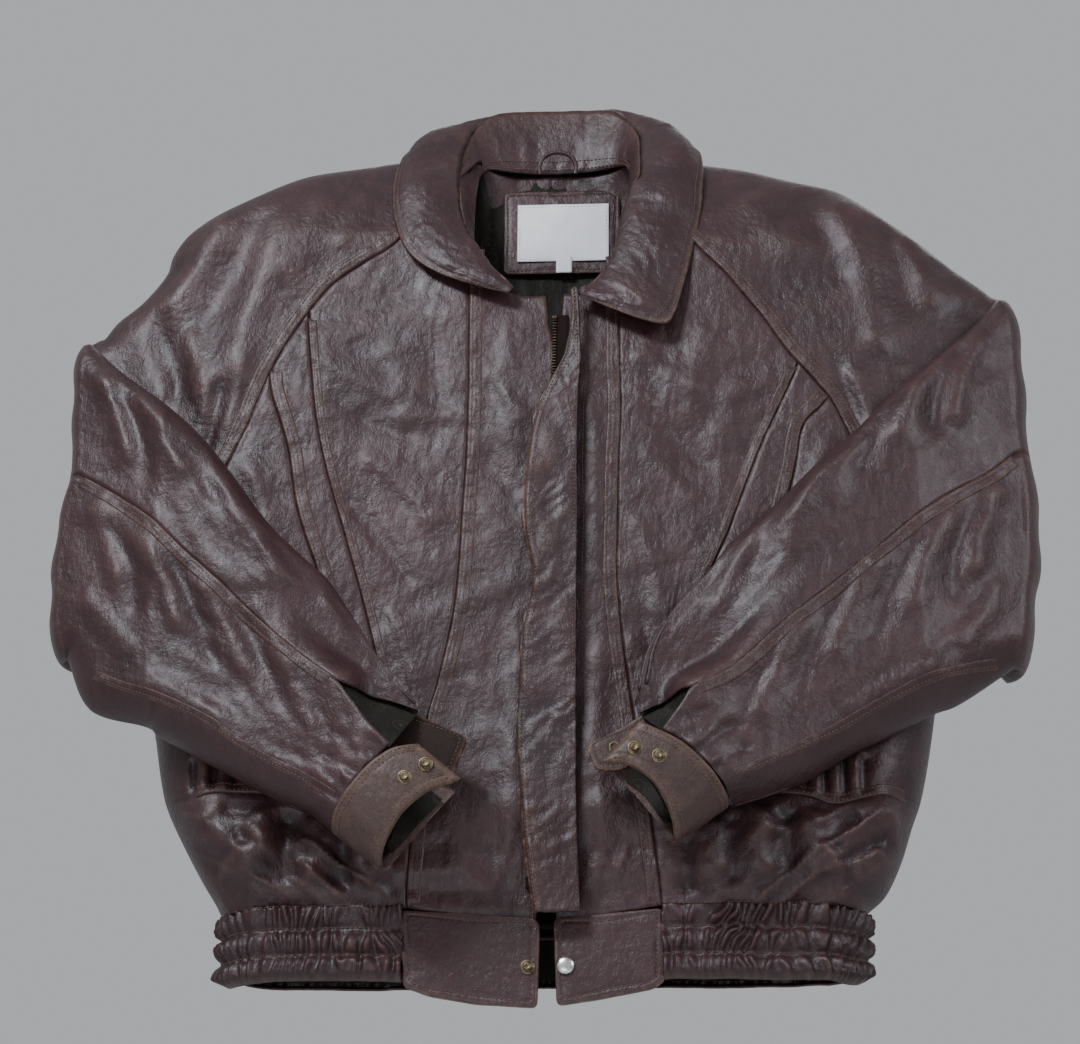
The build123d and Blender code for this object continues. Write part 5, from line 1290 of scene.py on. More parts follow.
plate("cuff_tab_left", [(-140, -512), (-118, -521), (-91, -531), (-56, -548.5), (-66, -576), (-84, -578), (-108, -560), (-128, -540)], -103.6, 3.2, "cuff_tab_left", mat=M_FACING, repl=["cuff_tab_left"], tilt=(-0.02, 0.05), wear=1.0)
plate("cuff_tab_right", [(104, -519), (80, -525), (50, -545), (29, -556), (36, -575), (56, -574), (80, -552), (98, -536)], -103.8, 3.2, "cuff_tab_right", mat=M_CUFF, repl=["cuff_tab_right"], tilt=(0.02, 0.05), wear=1.0)


def lathe(name, prof, centre, direction, body, mat, seg=40, repl=()):
    """A turned part: profile of (radius, height) along the direction, in mm."""
    d = Vector(direction).normalized()
    a = d.orthogonal().normalized()
    b = d.cross(a)
    a, b, d = A(a), A(b), A(d)
    V = []
    for r, h in prof:
        for q in range(seg):
            th = 2 * math.pi * q / seg
            V.append(A(centre, float) + (a * math.cos(th) + b * math.sin(th)) * r + d * h)
    V = A(V)
    F = grid_faces(len(prof), seg, wrap_m=True)
    ob = mesh(name, V, F, mat, attrs=None)
    import bmesh
    bm = bmesh.new()
    bm.from_mesh(ob.data)
    bmesh.ops.remove_doubles(bm, verts=bm.verts, dist=1e-7)
    bmesh.ops.recalc_face_normals(bm, faces=bm.faces)
    bm.to_mesh(ob.data)
    bm.free()
    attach(ob, body)
    if repl:
        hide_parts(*repl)
    return ob


STUD = [(0, -1.5), (5.4, -1.5), (5.6, 0.0), (5.3, 0.55), (4.6, 0.75), (3.4, 0.55), (3.0, 0.5), (2.85, 1.0), (2.5, 2.2), (2.9, 3.0), (2.8, 3.4), (2.0, 3.6), (1.4, 3.3), (0.0, 3.2)]
CAP = [(0, -1.5), (6.4, -1.5), (6.6, 0.2), (6.4, 0.9), (5.6, 1.7), (4.0, 2.3), (2.2, 2.6), (0.0, 2.7)]
RING = [(0, -1.0), (4.8, -1.0), (5.2, 0.4), (5.0, 1.0), (4.2, 1.3), (3.3, 1.0), (2.9, 0.2), (0, 0.0)]


def several(name, prof, places, direction, body, mat, repl):
    """Copies of one turned part in one object."""
    obs = [lathe(name + "_part%d" % i, prof, p, direction, body, mat) for i, p in enumerate(places)]
    VV, FF, base = [], [], 0
    for o in obs:
        me = o.data
        VV += [tuple(v.co / MM) for v in me.vertices]
        FF += [tuple(i + base for i in p.vertices) for p in me.polygons]
        base += len(me.vertices)
    for o in obs:
        bpy.data.objects.remove(o, do_unlink=True)
    ob = mesh(name, VV, FF, mat)
    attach(ob, body)
    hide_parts(*repl)
    return ob


several("cuff_studs_left", STUD, [(-96.5, -148.2, -593), (-82, -147.9, -583.5)], (0, -1, 0), "forearm_left", M_BRASS, ["cuff_studs_left"])
several("cuff_studs_right", STUD, [(82, -148.2, -579), (65, -147.9, -573)], (0, -1, 0), "forearm_right", M_BRASS, ["cuff_studs_right"])
several("cuff_caps_left", RING, [(-96, -100.2, -552), (-80, -100.2, -560)], (0, 1, 0), "cuff_tab_left", M_BRASS, ["cuff_caps_left"])
several("cuff_caps_right", RING, [(68, -104.6, -547), (50, -105.0, -558)], (0, -1, 0), "cuff_tab_right", M_BRASS, ["cuff_caps_right"])


# ------------------------------------------------------------------- collar
COL_R = A([(-29, -71, -166), (-36, -69, -156), (-45, -66, -146), (-55, -62, -130), (-63, -57, -115), (-71, -51, -94), (-76, -42, -62), (-78, -24, -34), (-76, -8, -4), (-69, 6, 24), (-54, 13, 42),
           (-30, 18, 48), (-4, 20, 49), (24, 18, 48), (44, 13, 44), (57, 6, 30), (66, -8, 8), (68, -24, -16), (68, -38, -46), (62, -47, -62), (56, -53, -84), (52.5, -58, -108), (48.5, -63, -130), (44, -65, -142), (38.6, -67, -152), (30, -70, -163), (21, -72.5, -170)], float)
COL_E = A([(-33, -74, -172), (-57, -73, -165), (-85, -71, -153), (-105, -67, -139), (-118, -62, -121), (-126, -55, -96), (-130, -45, -66), (-129, -32, -38), (-124, -14, -14), (-114, 14, 0), (-94, 34, -12),
           (-52, 42, -24), (-4, 44, -27), (46, 42, -25), (86, 36, -14), (108, 18, -4), (117, -8, -14), (120, -24, -30), (119.5, -40, -58), (117, -52, -94), (110, -62, -133), (103.5, -69, -164), (96, -74, -192), (89, -77, -202), (70, -78, -199), (46, -77, -188), (22, -75, -175)], float)
COL_N = A([(-33, -66, -168), (-39, -62, -160), (-47, -58, -150), (-56, -52, -134), (-62, -46, -118), (-64, -38, -98), (-64, -28, -68), (-64, -14, -44), (-62, -2, -24), (-56, 6, -14), (-44, 12, -12),
           (-26, 17, -12), (-2, 19, -12), (20, 17, -12), (38, 13, -12), (50, 7, -13), (57, -4, -20), (60, -16, -36), (58, -28, -62), (55, -36, -80), (52, -42, -98), (50, -48, -116), (46, -54, -136), (42, -57, -146), (37, -60, -155), (30, -64, -164), (22, -68, -170)], float)
BUL = A([(0, -2, 0), (-1, -5, 1), (-2, -7, 2), (-3, -8, 3), (-4, -9, 4), (-5, -9, 5), (-6, -9, 7), (-8, -8, 10), (-9, -5, 14), (-9, 1, 16), (-5, 7, 14),
         (-1, 9, 10), (0, 9, 9), (1, 9, 10), (5, 7, 14), (9, 1, 15), (8, -5, 13), (7, -8, 9), (5, -9, 6), (5, -9, 5), (4, -9, 4), (3, -9, 3), (2, -8, 2), (2, -7, 2), (2, -6, 1), (1, -4, 0), (0, -2, 0)], float)
NS = 330
us = np.linspace(0, 1, len(COL_R))
uf = np.linspace(0, 1, NS)


def along(T):
    C = []
    k = len(T)
    Q = np.vstack([2 * T[0] - T[1], T, 2 * T[-1] - T[-2]])
    for f in uf * (k - 1):
        i = min(int(f), k - 2)
        t = f - i
        p0, p1, p2, p3 = Q[i], Q[i + 1], Q[i + 2], Q[i + 3]
        C.append(0.5 * ((2 * p1) + (-p0 + p2) * t + (2 * p0 - 5 * p1 + 4 * p2 - p3) * t * t + (-p0 + 3 * p1 - 3 * p2 + p3) * t ** 3))
    return A(C)


cR_, cE_, cN_, cB_ = along(COL_R), along(COL_E), along(COL_N), along(BUL)
mv = 34
vv = np.linspace(0, 1, mv) ** 1.0
LEAF = np.empty((NS, mv, 3))
for j, v in enumerate(vv):
    b = (1 - (2 * v - 1) ** 2) * 0.75 + 0.35 * arc(v / 0.16) * (1 - v)
    LEAF[:, j] = cR_ * (1 - v) + cE_ * v + cB_ * b
sarc = np.r_[0, np.cumsum(np.linalg.norm(np.diff(cE_, axis=0), axis=1))]
SS = np.tile(sarc[:, None], (1, mv))
VW = np.tile((vv * 52)[None], (NS, 1))
du, dv = np.gradient(LEAF, axis=0), np.gradient(LEAF, axis=1)
LN = np.cross(du, dv)
LN /= np.maximum(np.linalg.norm(LN, axis=2, keepdims=True), 1e-9)
if LN[40, 16][1] > 0:
    LN = -LN
bump = 1.6 * vnoise(SS / 30, VW / 30, 201) + 1.3 * (ridged(SS / 20 + VW / 40, VW / 16, 211) - 0.4) + 0.35 * fbm(SS / 7, VW / 7, 221, 3)
endfade = sm(np.minimum(SS, sarc[-1] - SS) / 12.0)
edgef = sm((1 - np.tile(vv[None], (NS, 1))) / 0.10)
# raised rim outside the stitch line
rimh = 0.9 * np.exp(-(((1 - VW / 52) * 52 - 4.6) / 1.2) ** 2) + 0.6 * np.exp(-(((1 - VW / 52) * 52 - 1.2) / 1.2) ** 2) - 0.3 * np.exp(-(((1 - VW / 52) * 52 - 2.8) / 0.8) ** 2) - 0.5 * np.exp(-(((1 - VW / 52) * 52 - 6.5) / 1.0) ** 2)
LEAF = LEAF + LN * ((bump * endfade * edgef + rimh)[..., None])
lw = np.clip(1.35 - (1 - VW / 52) * 52 / 3.2, 0, 1) * 1.0 + np.clip(1 - VW / 5.0, 0, 1) * 0.25
lw = np.clip(lw * (0.7 + 0.3 * vnoise(SS / 12, VW / 12, 231)) + np.clip(bump - 0.8, 0, 1) * 0.25, 0, 1)


def collar_blend(sd, a, b):
    if sd == "left":
        v, pos, s1 = Vector((-40, 64, 168)), Vector((-0.072, -0.008, 0.0)), -1
    else:
        v, pos, s1 = Vector((48, 64, 166)), Vector((0.068, -0.008, 0.0)), 1
    v.normalize()
    n1 = Vector((s1, 0, 0)); n1 = (n1 - v * n1.dot(v)).normalized()
    n2 = Vector((0, -1, 0)); n2 = (n2 - v * n2.dot(v)).normalized()
    n = (n1 * 0.8 + n2 * 0.6).normalized()
    return ("torso", "collar_wing_" + sd, tuple(pos + n * a * MM), tuple(pos + n * b * MM))


SPLIT_A, SPLIT_B = int(NS * 10.3 / 26), int(NS * 14.2 / 26)
BL_L, BL_R = collar_blend("left", 6, 40), collar_blend("right", 6, 40)
for nm, a, b, bl, rp, out in (("collar_wing_left", 0, SPLIT_A + 1, BL_L, ["collar_wing_left"], None), ("collar_leaf_back", SPLIT_A, SPLIT_B + 1, None, ["collar_leaf_back"], None), ("collar_wing_right", SPLIT_B, NS, BL_R, ["collar_wing_right"], None)):
    V = LEAF[a:b]
    nmean = LN[a:b].reshape(-1, 3).mean(0)
    # painted shade in the hollows of the collar's wrinkles
    sheet3(nm, V, nmean, body="torso", blend=bl, thick=3.0, wear=lw[a:b], painted_shade=np.clip(-bump[a:b] * 0.25, 0, 1), repl=rp)
    lines, nr = [], []
    for r in (2.8, 6.5):
        L = np.linalg.norm(cE_ - cR_, axis=1)
        f = 1 - r / 52.0
        jf = f * (mv - 1)
        j0 = int(jf)
        w_ = jf - j0
        q = LEAF[:, j0] * (1 - w_) + LEAF[:, j0 + 1] * w_ + LN[:, j0] * 0.15
        k0, k1 = (a + 6 if a == 0 else a), (b - 6 if b == NS else b)
        lines.append(q[k0:k1]); nr.append(LN[k0:k1, j0])
    stitch_rows(nm + "_stitches", lines, "torso", normals=nr, blend=bl)

# stand: from the neck seam up to the roll, facing inward
ms = 16
ST = np.empty((NS, ms, 3))
for j, v in enumerate(np.linspace(0, 1, ms)):
    ST[:, j] = cN_ * (1 - v) + (cR_ + LN[:, 0] * 0.2) * v + (-cB_) * 0.18 * (1 - (2 * v - 1) ** 2)
SS2 = np.tile(sarc[:, None], (1, ms))
VW2 = np.tile((np.linspace(0, 1, ms) * 40)[None], (NS, 1))
ST[..., 1] += (0.8 * vnoise(SS2 / 16, VW2 / 16, 241) + 0.3 * fbm(SS2 / 6, VW2 / 6, 251, 3)) * sm(VW2 / 6)
a_, b_ = int(NS * 0.02), int(NS * 0.98)
sheet3("collar_stand", ST[a_:b_], (0, -1, 0), body="torso", thick=1.8, repl=["collar_stand"], wear=np.tile((np.linspace(0, 1, ms) ** 4 * 0.4)[None], (b_ - a_, 1)))
stl = ST[int(NS * 0.33):int(NS * 0.64), 3] + A([0, -0.4, 0])
stitch_rows("collar_stand_stitches", [stl, ST[int(NS * 0.33):int(NS * 0.64), 1] + A([0, -0.5, 0])], "torso")


# ------------------------------------------------------------------- lining
def xz_of(line, z):
    P = A(line, float)
    o = np.argsort(P[:, 1])
    return np.interp(z, P[o, 1], P[o, 0])


def rows_between(zs, lo, hi, cols):
    V = np.empty((len(zs), cols, 2))
    for i, z in enumerate(zs):
        V[i, :, 0] = np.linspace(lo(z), hi(z), cols)
        V[i, :, 1] = z
    return V


def left_edge(z):
    return xz_of(BRAG_L, z) if z > -412 else float(np.interp(-z, [412, 480, 524, 575, 627, 662], [-304, -304, -298, -287, -259, -240])) + 5


def right_edge(z):
    return xz_of(BRAG_R, z) if z > -414 else float(np.interp(-z, [414, 480, 508, 571, 617, 662], [289, 289, 285, 272, 257, 228])) - 5


zs = np.linspace(-9, -655, 112)
P = rows_between(zs, left_edge, right_edge, 110)
Yb = back_any(P[..., 0], P[..., 1]) - 3.6
V = np.stack([P[..., 0], Yb, P[..., 1]], -1)
hush = 1 - sm((70 - np.abs(V[..., 0])) / 18) * sm((V[..., 2] + 118) / 12)
V[..., 1] += (1.2 * vnoise(V[..., 0] / 20, V[..., 2] / 26, 301) + 1.2 * (ridged(V[..., 0] / 11, V[..., 2] / 40, 311) - 0.4)) * (0.15 + 0.85 * hush)
wn_ = sm((62 - np.abs(V[..., 0])) / 9) * sm((V[..., 2] + 128) / 10)
V[..., 1] = V[..., 1] * (1 - wn_) + np.maximum(V[..., 1], 22.4) * wn_
sheet3("body_lining", V, (0, -1, 0), body="torso", mat=M_LINING, thick=0.6, repl=["body_lining"])


def front_lining(name, lo, hi, repl):
    P = rows_between(np.linspace(-122, -655, 150), lo, hi, 50)
    X, Z = P[..., 0], P[..., 1]
    V = np.stack([X, front_y(X, Z) + 5.0, Z], -1)
    sheet3(name, V, (0, 1, 0), body="torso", mat=M_FACING if "facing" in name else M_LINING, thick=0.8, repl=repl)


def vneck_l(z):
    return float(np.interp(-z, [60, 118, 150, 166, 655], [-64, -61, -47, -31, -9]))


def vneck_r(z):
    return float(np.interp(-z, [60, 132, 155, 166, 655], [62, 53, 39, 25, 12]))


front_lining("front_lining_left", lambda z: max(xz_of(RAG_L, z), -290) if z > -412 else left_edge(z), lambda z: vneck_l(z) - 34, [])
front_lining("front_lining_right", lambda z: vneck_r(z) + 34, lambda z: min(xz_of(RAG_R, z), 280) if z > -414 else right_edge(z), [])
front_lining("front_facing_left", lambda z: vneck_l(z) - 36, lambda z: vneck_l(z) - 3.0, ["front_facing_left"])
front_lining("front_facing_right", lambda z: vneck_r(z) + 3.0, lambda z: vneck_r(z) + 36, ["front_facing_right"])

for sd, cx in (("left", -148), ("right", 142)):
    n, m = 24, 32
    V = np.empty((n, m, 3))
    for i, a in enumerate(np.linspace(0, 1, n)):
        for j, th in enumerate(np.linspace(0, 2 * np.pi, m, endpoint=False)):
            r = math.sin(math.pi * a)
            V[i, j] = (cx + 34 * r * math.cos(th), 0 + 14 * r * math.sin(th), -36 - 10 * 0 - 4 * math.cos(math.pi * a) * -1 - 0.12 * abs(cx))
    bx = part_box("shoulder_pad_" + sd)
    lo_, hi_ = A(bx[0]) / MM, A(bx[1]) / MM
    ctr, half = (lo_ + hi_) / 2, (hi_ - lo_) / 2 * 0.8
    for i, a in enumerate(np.linspace(0, np.pi, n)):
        for j, th in enumerate(np.linspace(0, 2 * np.pi, m, endpoint=False)):
            V[i, j] = ctr + half * A([math.sin(a) * math.cos(th), math.sin(a) * math.sin(th), math.cos(a)])
    ob = mesh("shoulder_pad_" + sd, V.reshape(-1, 3), grid_faces(n, m, wrap_m=True), M_PAD)
    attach(ob, "torso")
    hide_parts("shoulder_pad_" + sd)

# -------------------------------------------------------------------- label
plate("label_patch", [(-44.5, -27.5), (51.5, -27.5), (51.5, -104.5), (-44.5, -104.5)], 20.0, 1.4, "torso", mat=M_LEATHER, repl=["label_patch"], wear=0.3, stitches=3.0)
n, m = 44, 60
V = np.empty((n, m, 3))
for i, z in enumerate(np.linspace(-41, -94, n)):
    for j, x in enumerate(np.linspace(-33, 42, m)):
        V[i, j] = (x, 18.9 + 0.25 * vnoise(A(x / 14), A(z / 14), 5), z)
ob = mesh("woven_label", V.reshape(-1, 3), grid_faces(n, m), M_LABEL)
solidify(ob, 0.5, 1.0)
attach(ob, "torso"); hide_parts("woven_label")
stitch_rows("woven_label_stitches", [A([(-31, 18.6, -43), (40, 18.6, -43), (40, 18.6, -92), (-31, 18.6, -92), (-31, 18.6, -43)])], "torso", r=0.25)
plateV = A([[(x, 18.3 + 0.3 * math.sin(z / 4), z) for x in np.linspace(-1, 12, 8)] for z in np.linspace(-90, -105, 10)])
ob = mesh("size_tag", plateV.reshape(-1, 3), grid_faces(10, 8), M_LABEL)
solidify(ob, 0.4, 1.0)
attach(ob, "torso"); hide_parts("size_tag")

pts = curve([(-14, 2.6, -21.5), (-14.5, 1.6, -14), (-10, 0.8, -5.5), (0.5, 0.5, -2.0), (11, 0.8, -5.5), (15.5, 1.6, -14), (15, 2.6, -21.5)], 60)


def tube(name, C, r, body, mat, seg=12, repl=(), flat=1.0):
    T = np.gradient(C, axis=0)
    T /= np.linalg.norm(T, axis=1, keepdims=True)
    up = A([0, 1.0, 0])
    V = []
    for p, t in zip(C, T):
        a = np.cross(t, up); a /= np.linalg.norm(a)
        b = np.cross(a, t)
        for q in range(seg):
            th = 2 * math.pi * q / seg
            V.append(p + a * r * math.cos(th) + b * r * flat * math.sin(th))
    ob = mesh(name, A(V), grid_faces(len(C), seg, wrap_m=True), mat)
    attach(ob, body)
    if repl:
        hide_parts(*repl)
    return ob


tube("hang_loop", pts, 1.8, "torso", M_LEATHER, repl=["hang_loop"])

# ------------------------------------------------------------------ placket
PLK_EDGE = [(14.9, -170.3), (15.8, -196.6), (10.5, -226.8), (-1.7, -252.3), (-9.9, -271.7), (-14.4, -291.1), (-17.9, -318.7), (-19.9, -350.2), (-18.9, -374.0), (-14.1, -400.2), (-12.6, -407), (-13.9, -429.2), (-19.6, -452.3), (-21.4, -492.5), (-22.4, -537.5), (-20.5, -574.3), (-18.0, -611.3), (-13.3, -647.1), (-9.5, -671.4)]
PLK_SEAM = [(20.3, -170), (22.7, -226), (21.2, -262), (20.4, -310), (20.8, -358), (20.4, -398), (20.2, -442), (20.3, -499), (20.6, -543), (21.4, -598), (23.8, -671)]
P = coons_at([PLK_EDGE[0], PLK_SEAM[0]], [PLK_EDGE[-1], PLK_SEAM[-1]], PLK_EDGE, PLK_SEAM, np.linspace(0, 1, 230), np.r_[0, 0.015, 0.04, 0.08, np.linspace(0.12, 0.94, 20), 0.975, 1.0])
X, Z = P[..., 0], P[..., 1]
de, _, _ = pdist(X, Z, PLK_EDGE)
wd = np.maximum(np.abs(P[:, -1:, 0] - P[:, :1, 0]), 6)
u, v = turned(X, Z, 38, 6.5, 22.0, 33)
low = 1.6 * np.sin(-Z / 47.0) + 1.2 * vnoise(Z / 60.0, X * 0, 401)
Hb = 2.0 * (ridged(u, v, 411, 2) - 0.4) * (0.55 + 0.6 * vnoise(X / 30, Z / 26, 415)) + 1.0 * vnoise(X / 12, Z / 20, 421) + low * (1 - (X - P[:, :1, 0]) / wd)
Y = -78.0 - 1.4 * sm(de / 4.0) - Hb * sm(de / 3.0)
Y = np.where(de < 1.2, Y + (1.2 - de) * 1.6, Y)
Y = np.minimum(Y, -76.2)
w = np.clip(1 - de / 2.2, 0, 1) * 0.85 + np.clip(Hb - 0.9, 0, 1) * 0.3
V = np.stack([X, Y, Z], -1)
sheet3("placket", V, (0, -1, 0), body="placket", thick=2.6, wear=np.clip(w, 0, 1), painted_shade=np.clip(-Hb * 0.25, 0, 0.6), repl=["placket"])
ce = curve(PLK_SEAM, 240)
yv = np.interp(ce[:, 1][::-1], Z[:, -4][::-1], Y[:, -4][::-1])[::-1]
rows_ = [np.stack([ce[:, 0] - 2.0, yv - 0.2, ce[:, 1]], 1)]
for off in (2.6, 5.6):                            # along the free edge
    q = []
    for i in range(len(X)):
        xx = X[i, 0] + min(off, 0.7 * (X[i, -1] - X[i, 0]))
        q.append((xx, np.interp(xx, X[i], Y[i]) - 0.25, np.interp(xx, X[i], Z[i])))
    rows_.append(A(q))
stitch_rows("placket_stitches", rows_, "placket")
fs = curve(PLK_SEAM, 240)
yq = front_y(fs[:, 0] + 4.0, fs[:, 1])
stitch_rows("front_right_seam_stitches", [np.stack([fs[:, 0] + 4.0, yq - 0.25, fs[:, 1]], 1)], "torso")
le = curve(LF_EDGE[1:], 240)
stitch_rows("front_left_edge_stitches", [np.stack([le[:, 0] - o, front_y(le[:, 0] - o, le[:, 1]) - 0.25, le[:, 1]], 1) for o in (2.6, 9.0)], "torso")

# the strip of right front under the fly, with the zip
for nm, x0_, x1_, y_ in (("zip_tape_left", -16, -5.5, -56.0), ("zip_tape_right", 2.8, 13.0, -68.6)):
    n, m = 150, 8
    V = np.empty((n, m, 3))
    for i, z in enumerate(np.linspace(-186, -650, n)):
        for j, x in enumerate(np.linspace(x0_, x1_, m)):
            V[i, j] = (x, y_ + 0.3 * math.sin(z / 17.0) + (6.0 * (1 - min(1, (-z - 186) / 90)) if "right" in nm else -7.0 * min(1, (-z - 186) / 300)), z)
    sheet3(nm, V, (0, -1, 0), body="torso", mat=M_TAPE, thick=0.7, repl=[nm])


def boxes(name, places, size, body, mat, repl=(), bevel=0.25):
    V, F, base = [], [], 0
    sx, sy, sz = [s_ / 2 for s_ in size]
    q = [(-1, -1, -1), (1, -1, -1), (1, 1, -1), (-1, 1, -1), (-1, -1, 1), (1, -1, 1), (1, 1, 1), (-1, 1, 1)]
    f = [(0, 3, 2, 1), (4, 5, 6, 7), (0, 1, 5, 4), (1, 2, 6, 5), (2, 3, 7, 6), (3, 0, 4, 7)]
    for p in places:
        V += [(p[0] + a * sx, p[1] + b * sy, p[2] + c * sz) for a, b, c in q]
        F += [tuple(i + base for i in g) for g in f]
        base += 8
    ob = mesh(name, V, F, mat, smooth=False)
    mo = ob.modifiers.new("soft", "BEVEL")
    mo.width, mo.segments = bevel * MM, 2
    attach(ob, body)
    if repl:
        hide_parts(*repl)
    return ob


boxes("zip_teeth_left", [(-4.6, -56.3 - 7.0 * min(1, (-z - 186) / 300), z) for z in np.arange(-190, -646, -2.6)], (3.0, 2.2, 1.3), "torso", M_ZIP, ["zip_teeth_left"])
boxes("zip_teeth_right", [(2.4, -68.9 + 6.0 * (1 - min(1, (-z - 186) / 90)), z) for z in np.arange(-191.3, -646, -2.6)], (3.0, 2.2, 1.3), "torso", M_ZIP, ["zip_teeth_right"])
boxes("zip_stops", [(-4.6, -56.3, -188), (2.4, -62.9, -188.5), (2.4, -69.0, -648)], (4.0, 3.0, 3.0), "torso", M_ZIP, ["zip_stops"], 0.5)
boxes("zip_slider", [(2.2, -70.3, -628)], (8.4, 1.2, 12.0), "zip_slider", M_ZIP, ["zip_slider"], 0.5)
boxes("zip_slider_front", [(2.2, -73.0, -628)], (8.4, 1.2, 12.0), "zip_slider", M_ZIP, [], 0.5)
boxes("zip_slider_neck", [(2.2, -71.6, -624)], (2.4, 3.2, 3.0), "zip_slider", M_ZIP, [], 0.4)
boxes("zip_pull", [(2.2, -74.3, -641)], (6.0, 0.9, 23.0), "zip_slider", M_ZIP, ["zip_pull"], 0.4)

# ---------------------------------------------------------------- waistband
RINGP = [(-104, -61.5), (-150, -61.5), (-196, -59.5), (-222, -50), (-235, -34), (-240, -17), (-235, 0), (-222, 14), (-196, 23), (-120, 26), (0, 26), (120, 26), (186, 23), (210, 14), (224, 0), (228.5, -17), (224, -34), (210, -50), (186, -59.5), (140, -61.5), (82, -61.5)]
ring = curve(RINGP, 560)
rs = np.r_[0, np.cumsum(np.linalg.norm(np.diff(ring, axis=0), axis=1))]
T = np.gradient(ring, axis=0)
T /= np.linalg.norm(T, axis=1, keepdims=True)
RN = np.stack([T[:, 1], -T[:, 0]], 1)
if RN[100] @ (ring[100] - A([-5, -17])) < 0:
    RN = -RN
nz = 44
hz = np.linspace(0, 1, nz)
ztop, zbot = -659.0, -715.5
RSS, HZ = np.tile(rs[:, None], (1, nz)), np.tile(hz[None], (len(rs), 1))
row1, row2 = 0.34, 0.68
pin = 1 - 0.75 * np.exp(-((HZ - row1) / 0.045) ** 2) - 0.75 * np.exp(-((HZ - row2) / 0.045) ** 2)
ph = RSS / 8.6 + 1.7 * vnoise(RSS / 24, HZ * 1.2, 501) + 0.5 * vnoise(RSS / 9, HZ * 3, 511)
gath = (0.5 + 0.5 * np.cos(2 * np.pi * ph)) ** 1.3
amp = 1.0 + 0.5 * vnoise(RSS / 30, HZ * 3 + 5, 521)
puff = 3.0 * (1 - np.exp(-((HZ - row1) / 0.09) ** 2) - np.exp(-((HZ - row2) / 0.09) ** 2))
disp = puff + gath * 3.9 * amp * pin + 0.5 * fbm(RSS / 5, HZ * 10, 531, 3)
disp *= sm(HZ / 0.06) * sm((1 - HZ) / 0.10) * 0.9 + 0.1
disp -= 3.0 * (1 - sm(HZ / 0.05)) + 4.5 * (1 - arc((1 - HZ) / 0.12))
VR = np.empty((len(rs), nz, 3))
VR[..., 0] = ring[:, :1] + RN[:, :1] * disp
VR[..., 1] = ring[:, 1:] + RN[:, 1:] * disp
VR[..., 2] = ztop + (zbot + 14.0 * sm((ring[:, 1:] + 48) / 52.0) - ztop) * HZ + 0.8 * vnoise(RSS / 18, HZ, 541)
cut1 = int(np.argmin(np.hypot(ring[:, 0] + 222, ring[:, 1] - 14)))
cut2 = int(np.argmin(np.hypot(ring[:, 0] - 210, ring[:, 1] - 14)))
# painted shade in the valleys between the gathers
gather_painted_shade = np.clip(0.55 - gath * 0.9, 0, 1) * 0.8
wr_ = np.clip(gath * amp - 0.9, 0, 1) * 0.6 + 0.35 * np.clip((HZ - 0.93) / 0.05, 0, 1)
for nm, a, b in (("waist_casing_left", 0, cut1 + 1), ("waist_casing_back", cut1, cut2 + 1), ("waist_casing_right", cut2, len(rs))):
    V = VR[a:b]
    mid_n = A([RN[(a + b) // 2][0], RN[(a + b) // 2][1], 0])
    sheet3(nm, V, mid_n, body="torso", thick=1.8, wear=wr_[a:b], painted_shade=gather_painted_shade[a:b], repl=[nm])
srows = []
snorm = []
for r in (row1, row2, 0.055):
    j = int(r * (nz - 1))
    q = VR[:, j] + np.concatenate([RN, np.zeros((len(RN), 1))], 1) * 0.35
    srows.append(q[3:-3]); snorm.append(np.concatenate([RN, np.zeros((len(RN), 1))], 1)[3:-3])
stitch_rows("waist_stitches", srows, "torso", normals=snorm)
inner = curve(RINGP, 200)
IN = A([-5, -17])
V = np.empty((200, 6, 3))
for j, z in enumerate(np.linspace(-664, -711, 6)):
    d = inner - IN
    V[:, j, 0:2] = inner - d / np.linalg.norm(d, axis=1, keepdims=True) * 3.5
    V[:, j, 2] = -664 + (z + 664) * (1 - 0.34 * sm((inner[:, 1] + 48) / 52.0))
ob = mesh("waist_elastic", V.reshape(-1, 3), grid_faces(200, 6), M_ELASTIC_SHADE)
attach(ob, "torso"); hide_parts("waist_elastic")


def waist_y(X, Z):
    return -62.0 - 1.2 * vnoise(X / 26, Z / 26, 551) - 0.35 * fbm(X / 8, Z / 8, 555, 3)


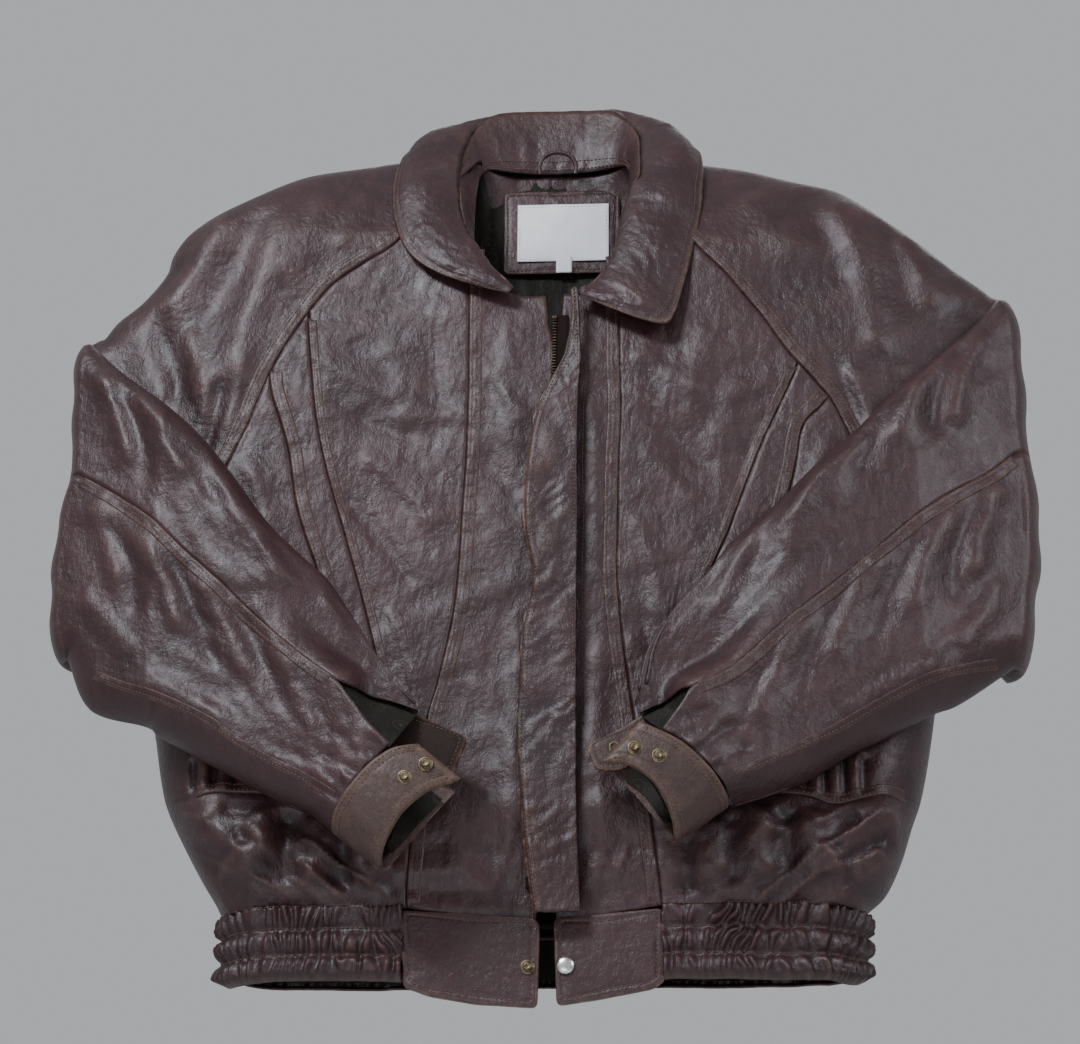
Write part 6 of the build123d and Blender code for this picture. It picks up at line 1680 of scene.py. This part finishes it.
for nm, poly in (("waist_tab_left", [(-107, -664.5), (-60, -667), (-9, -671), (-5.5, -676), (-7, -736), (-51, -733), (-84, -727), (-103, -720)]),
                 ("waist_tab_right", [(4, -670.5), (38.8, -668), (83, -664), (83, -717), (74.8, -722.7), (38.6, -729.7), (6.5, -734.6)])):
    plate(nm, poly, -62.5, 5.0, "torso", repl=[nm], wear=0.8, stitches=4.5)
lathe("hem_snap_cap", CAP, (13, -63.2, -706), (0, -1, 0), "torso", M_NICKEL, repl=["hem_snap_cap"])
lathe("hem_snap_socket", RING, (13, -57.4, -706), (0, 1, 0), "torso", M_NICKEL, repl=["hem_snap_socket"])
lathe("hem_snap_stud", STUD, (-14, -63.0, -707), (0, -1, 0), "torso", M_BRASS, repl=["hem_snap_stud"])

# ------------------------------------------------------------ light, ground
w = bpy.data.worlds.new("studio")
bpy.context.scene.world = w
w.use_nodes = True
bg = w.node_tree.nodes["Background"]
bg.inputs["Color"].default_value = (0.86, 0.88, 0.92, 1)
bg.inputs["Strength"].default_value = 0.54
me = bpy.data.meshes.new("floor")
me.from_pydata([(-9, -7, -1.55), (9, -7, -1.55), (9, 9, -1.55), (-9, 9, -1.55)], [], [(0, 1, 2, 3)])
fl = bpy.data.objects.new("floor", me)
bpy.context.scene.collection.objects.link(fl)
fm = bpy.data.materials.new("pale_floor")
nt, b = nodes_of(fm)
b.inputs["Base Color"].default_value = (0.72, 0.72, 0.72, 1)
b.inputs["Roughness"].default_value = 0.9
me.materials.append(fm)


def area(name, loc, target, size, power, col=(1, 1, 1)):
    ld = bpy.data.lights.new(name, "AREA")
    ld.shape, ld.size, ld.size_y, ld.energy, ld.color = "RECTANGLE", size[0], size[1], power, col
    ob = bpy.data.objects.new(name, ld)
    bpy.context.scene.collection.objects.link(ob)
    ob.location = loc
    ob.rotation_euler = (Vector(target) - Vector(loc)).to_track_quat("-Z", "Y").to_euler()
    return ob


area("key", (-1.1, -1.9, 1.1), (0, 0, -0.35), (0.8, 0.45), 68, (0.90, 0.94, 1.0))
area("fill", (1.9, -1.5, 0.35), (0, 0, -0.35), (0.7, 0.8), 24, (0.90, 0.94, 1.0))
area("low", (-0.5, -2.1, -1.35), (0, 0, -0.45), (0.9, 0.5), 9, (0.95, 0.96, 1.0))
area("rim", (0.3, 1.4, 1.2), (0, 0, -0.3), (1.4, 0.8), 6)
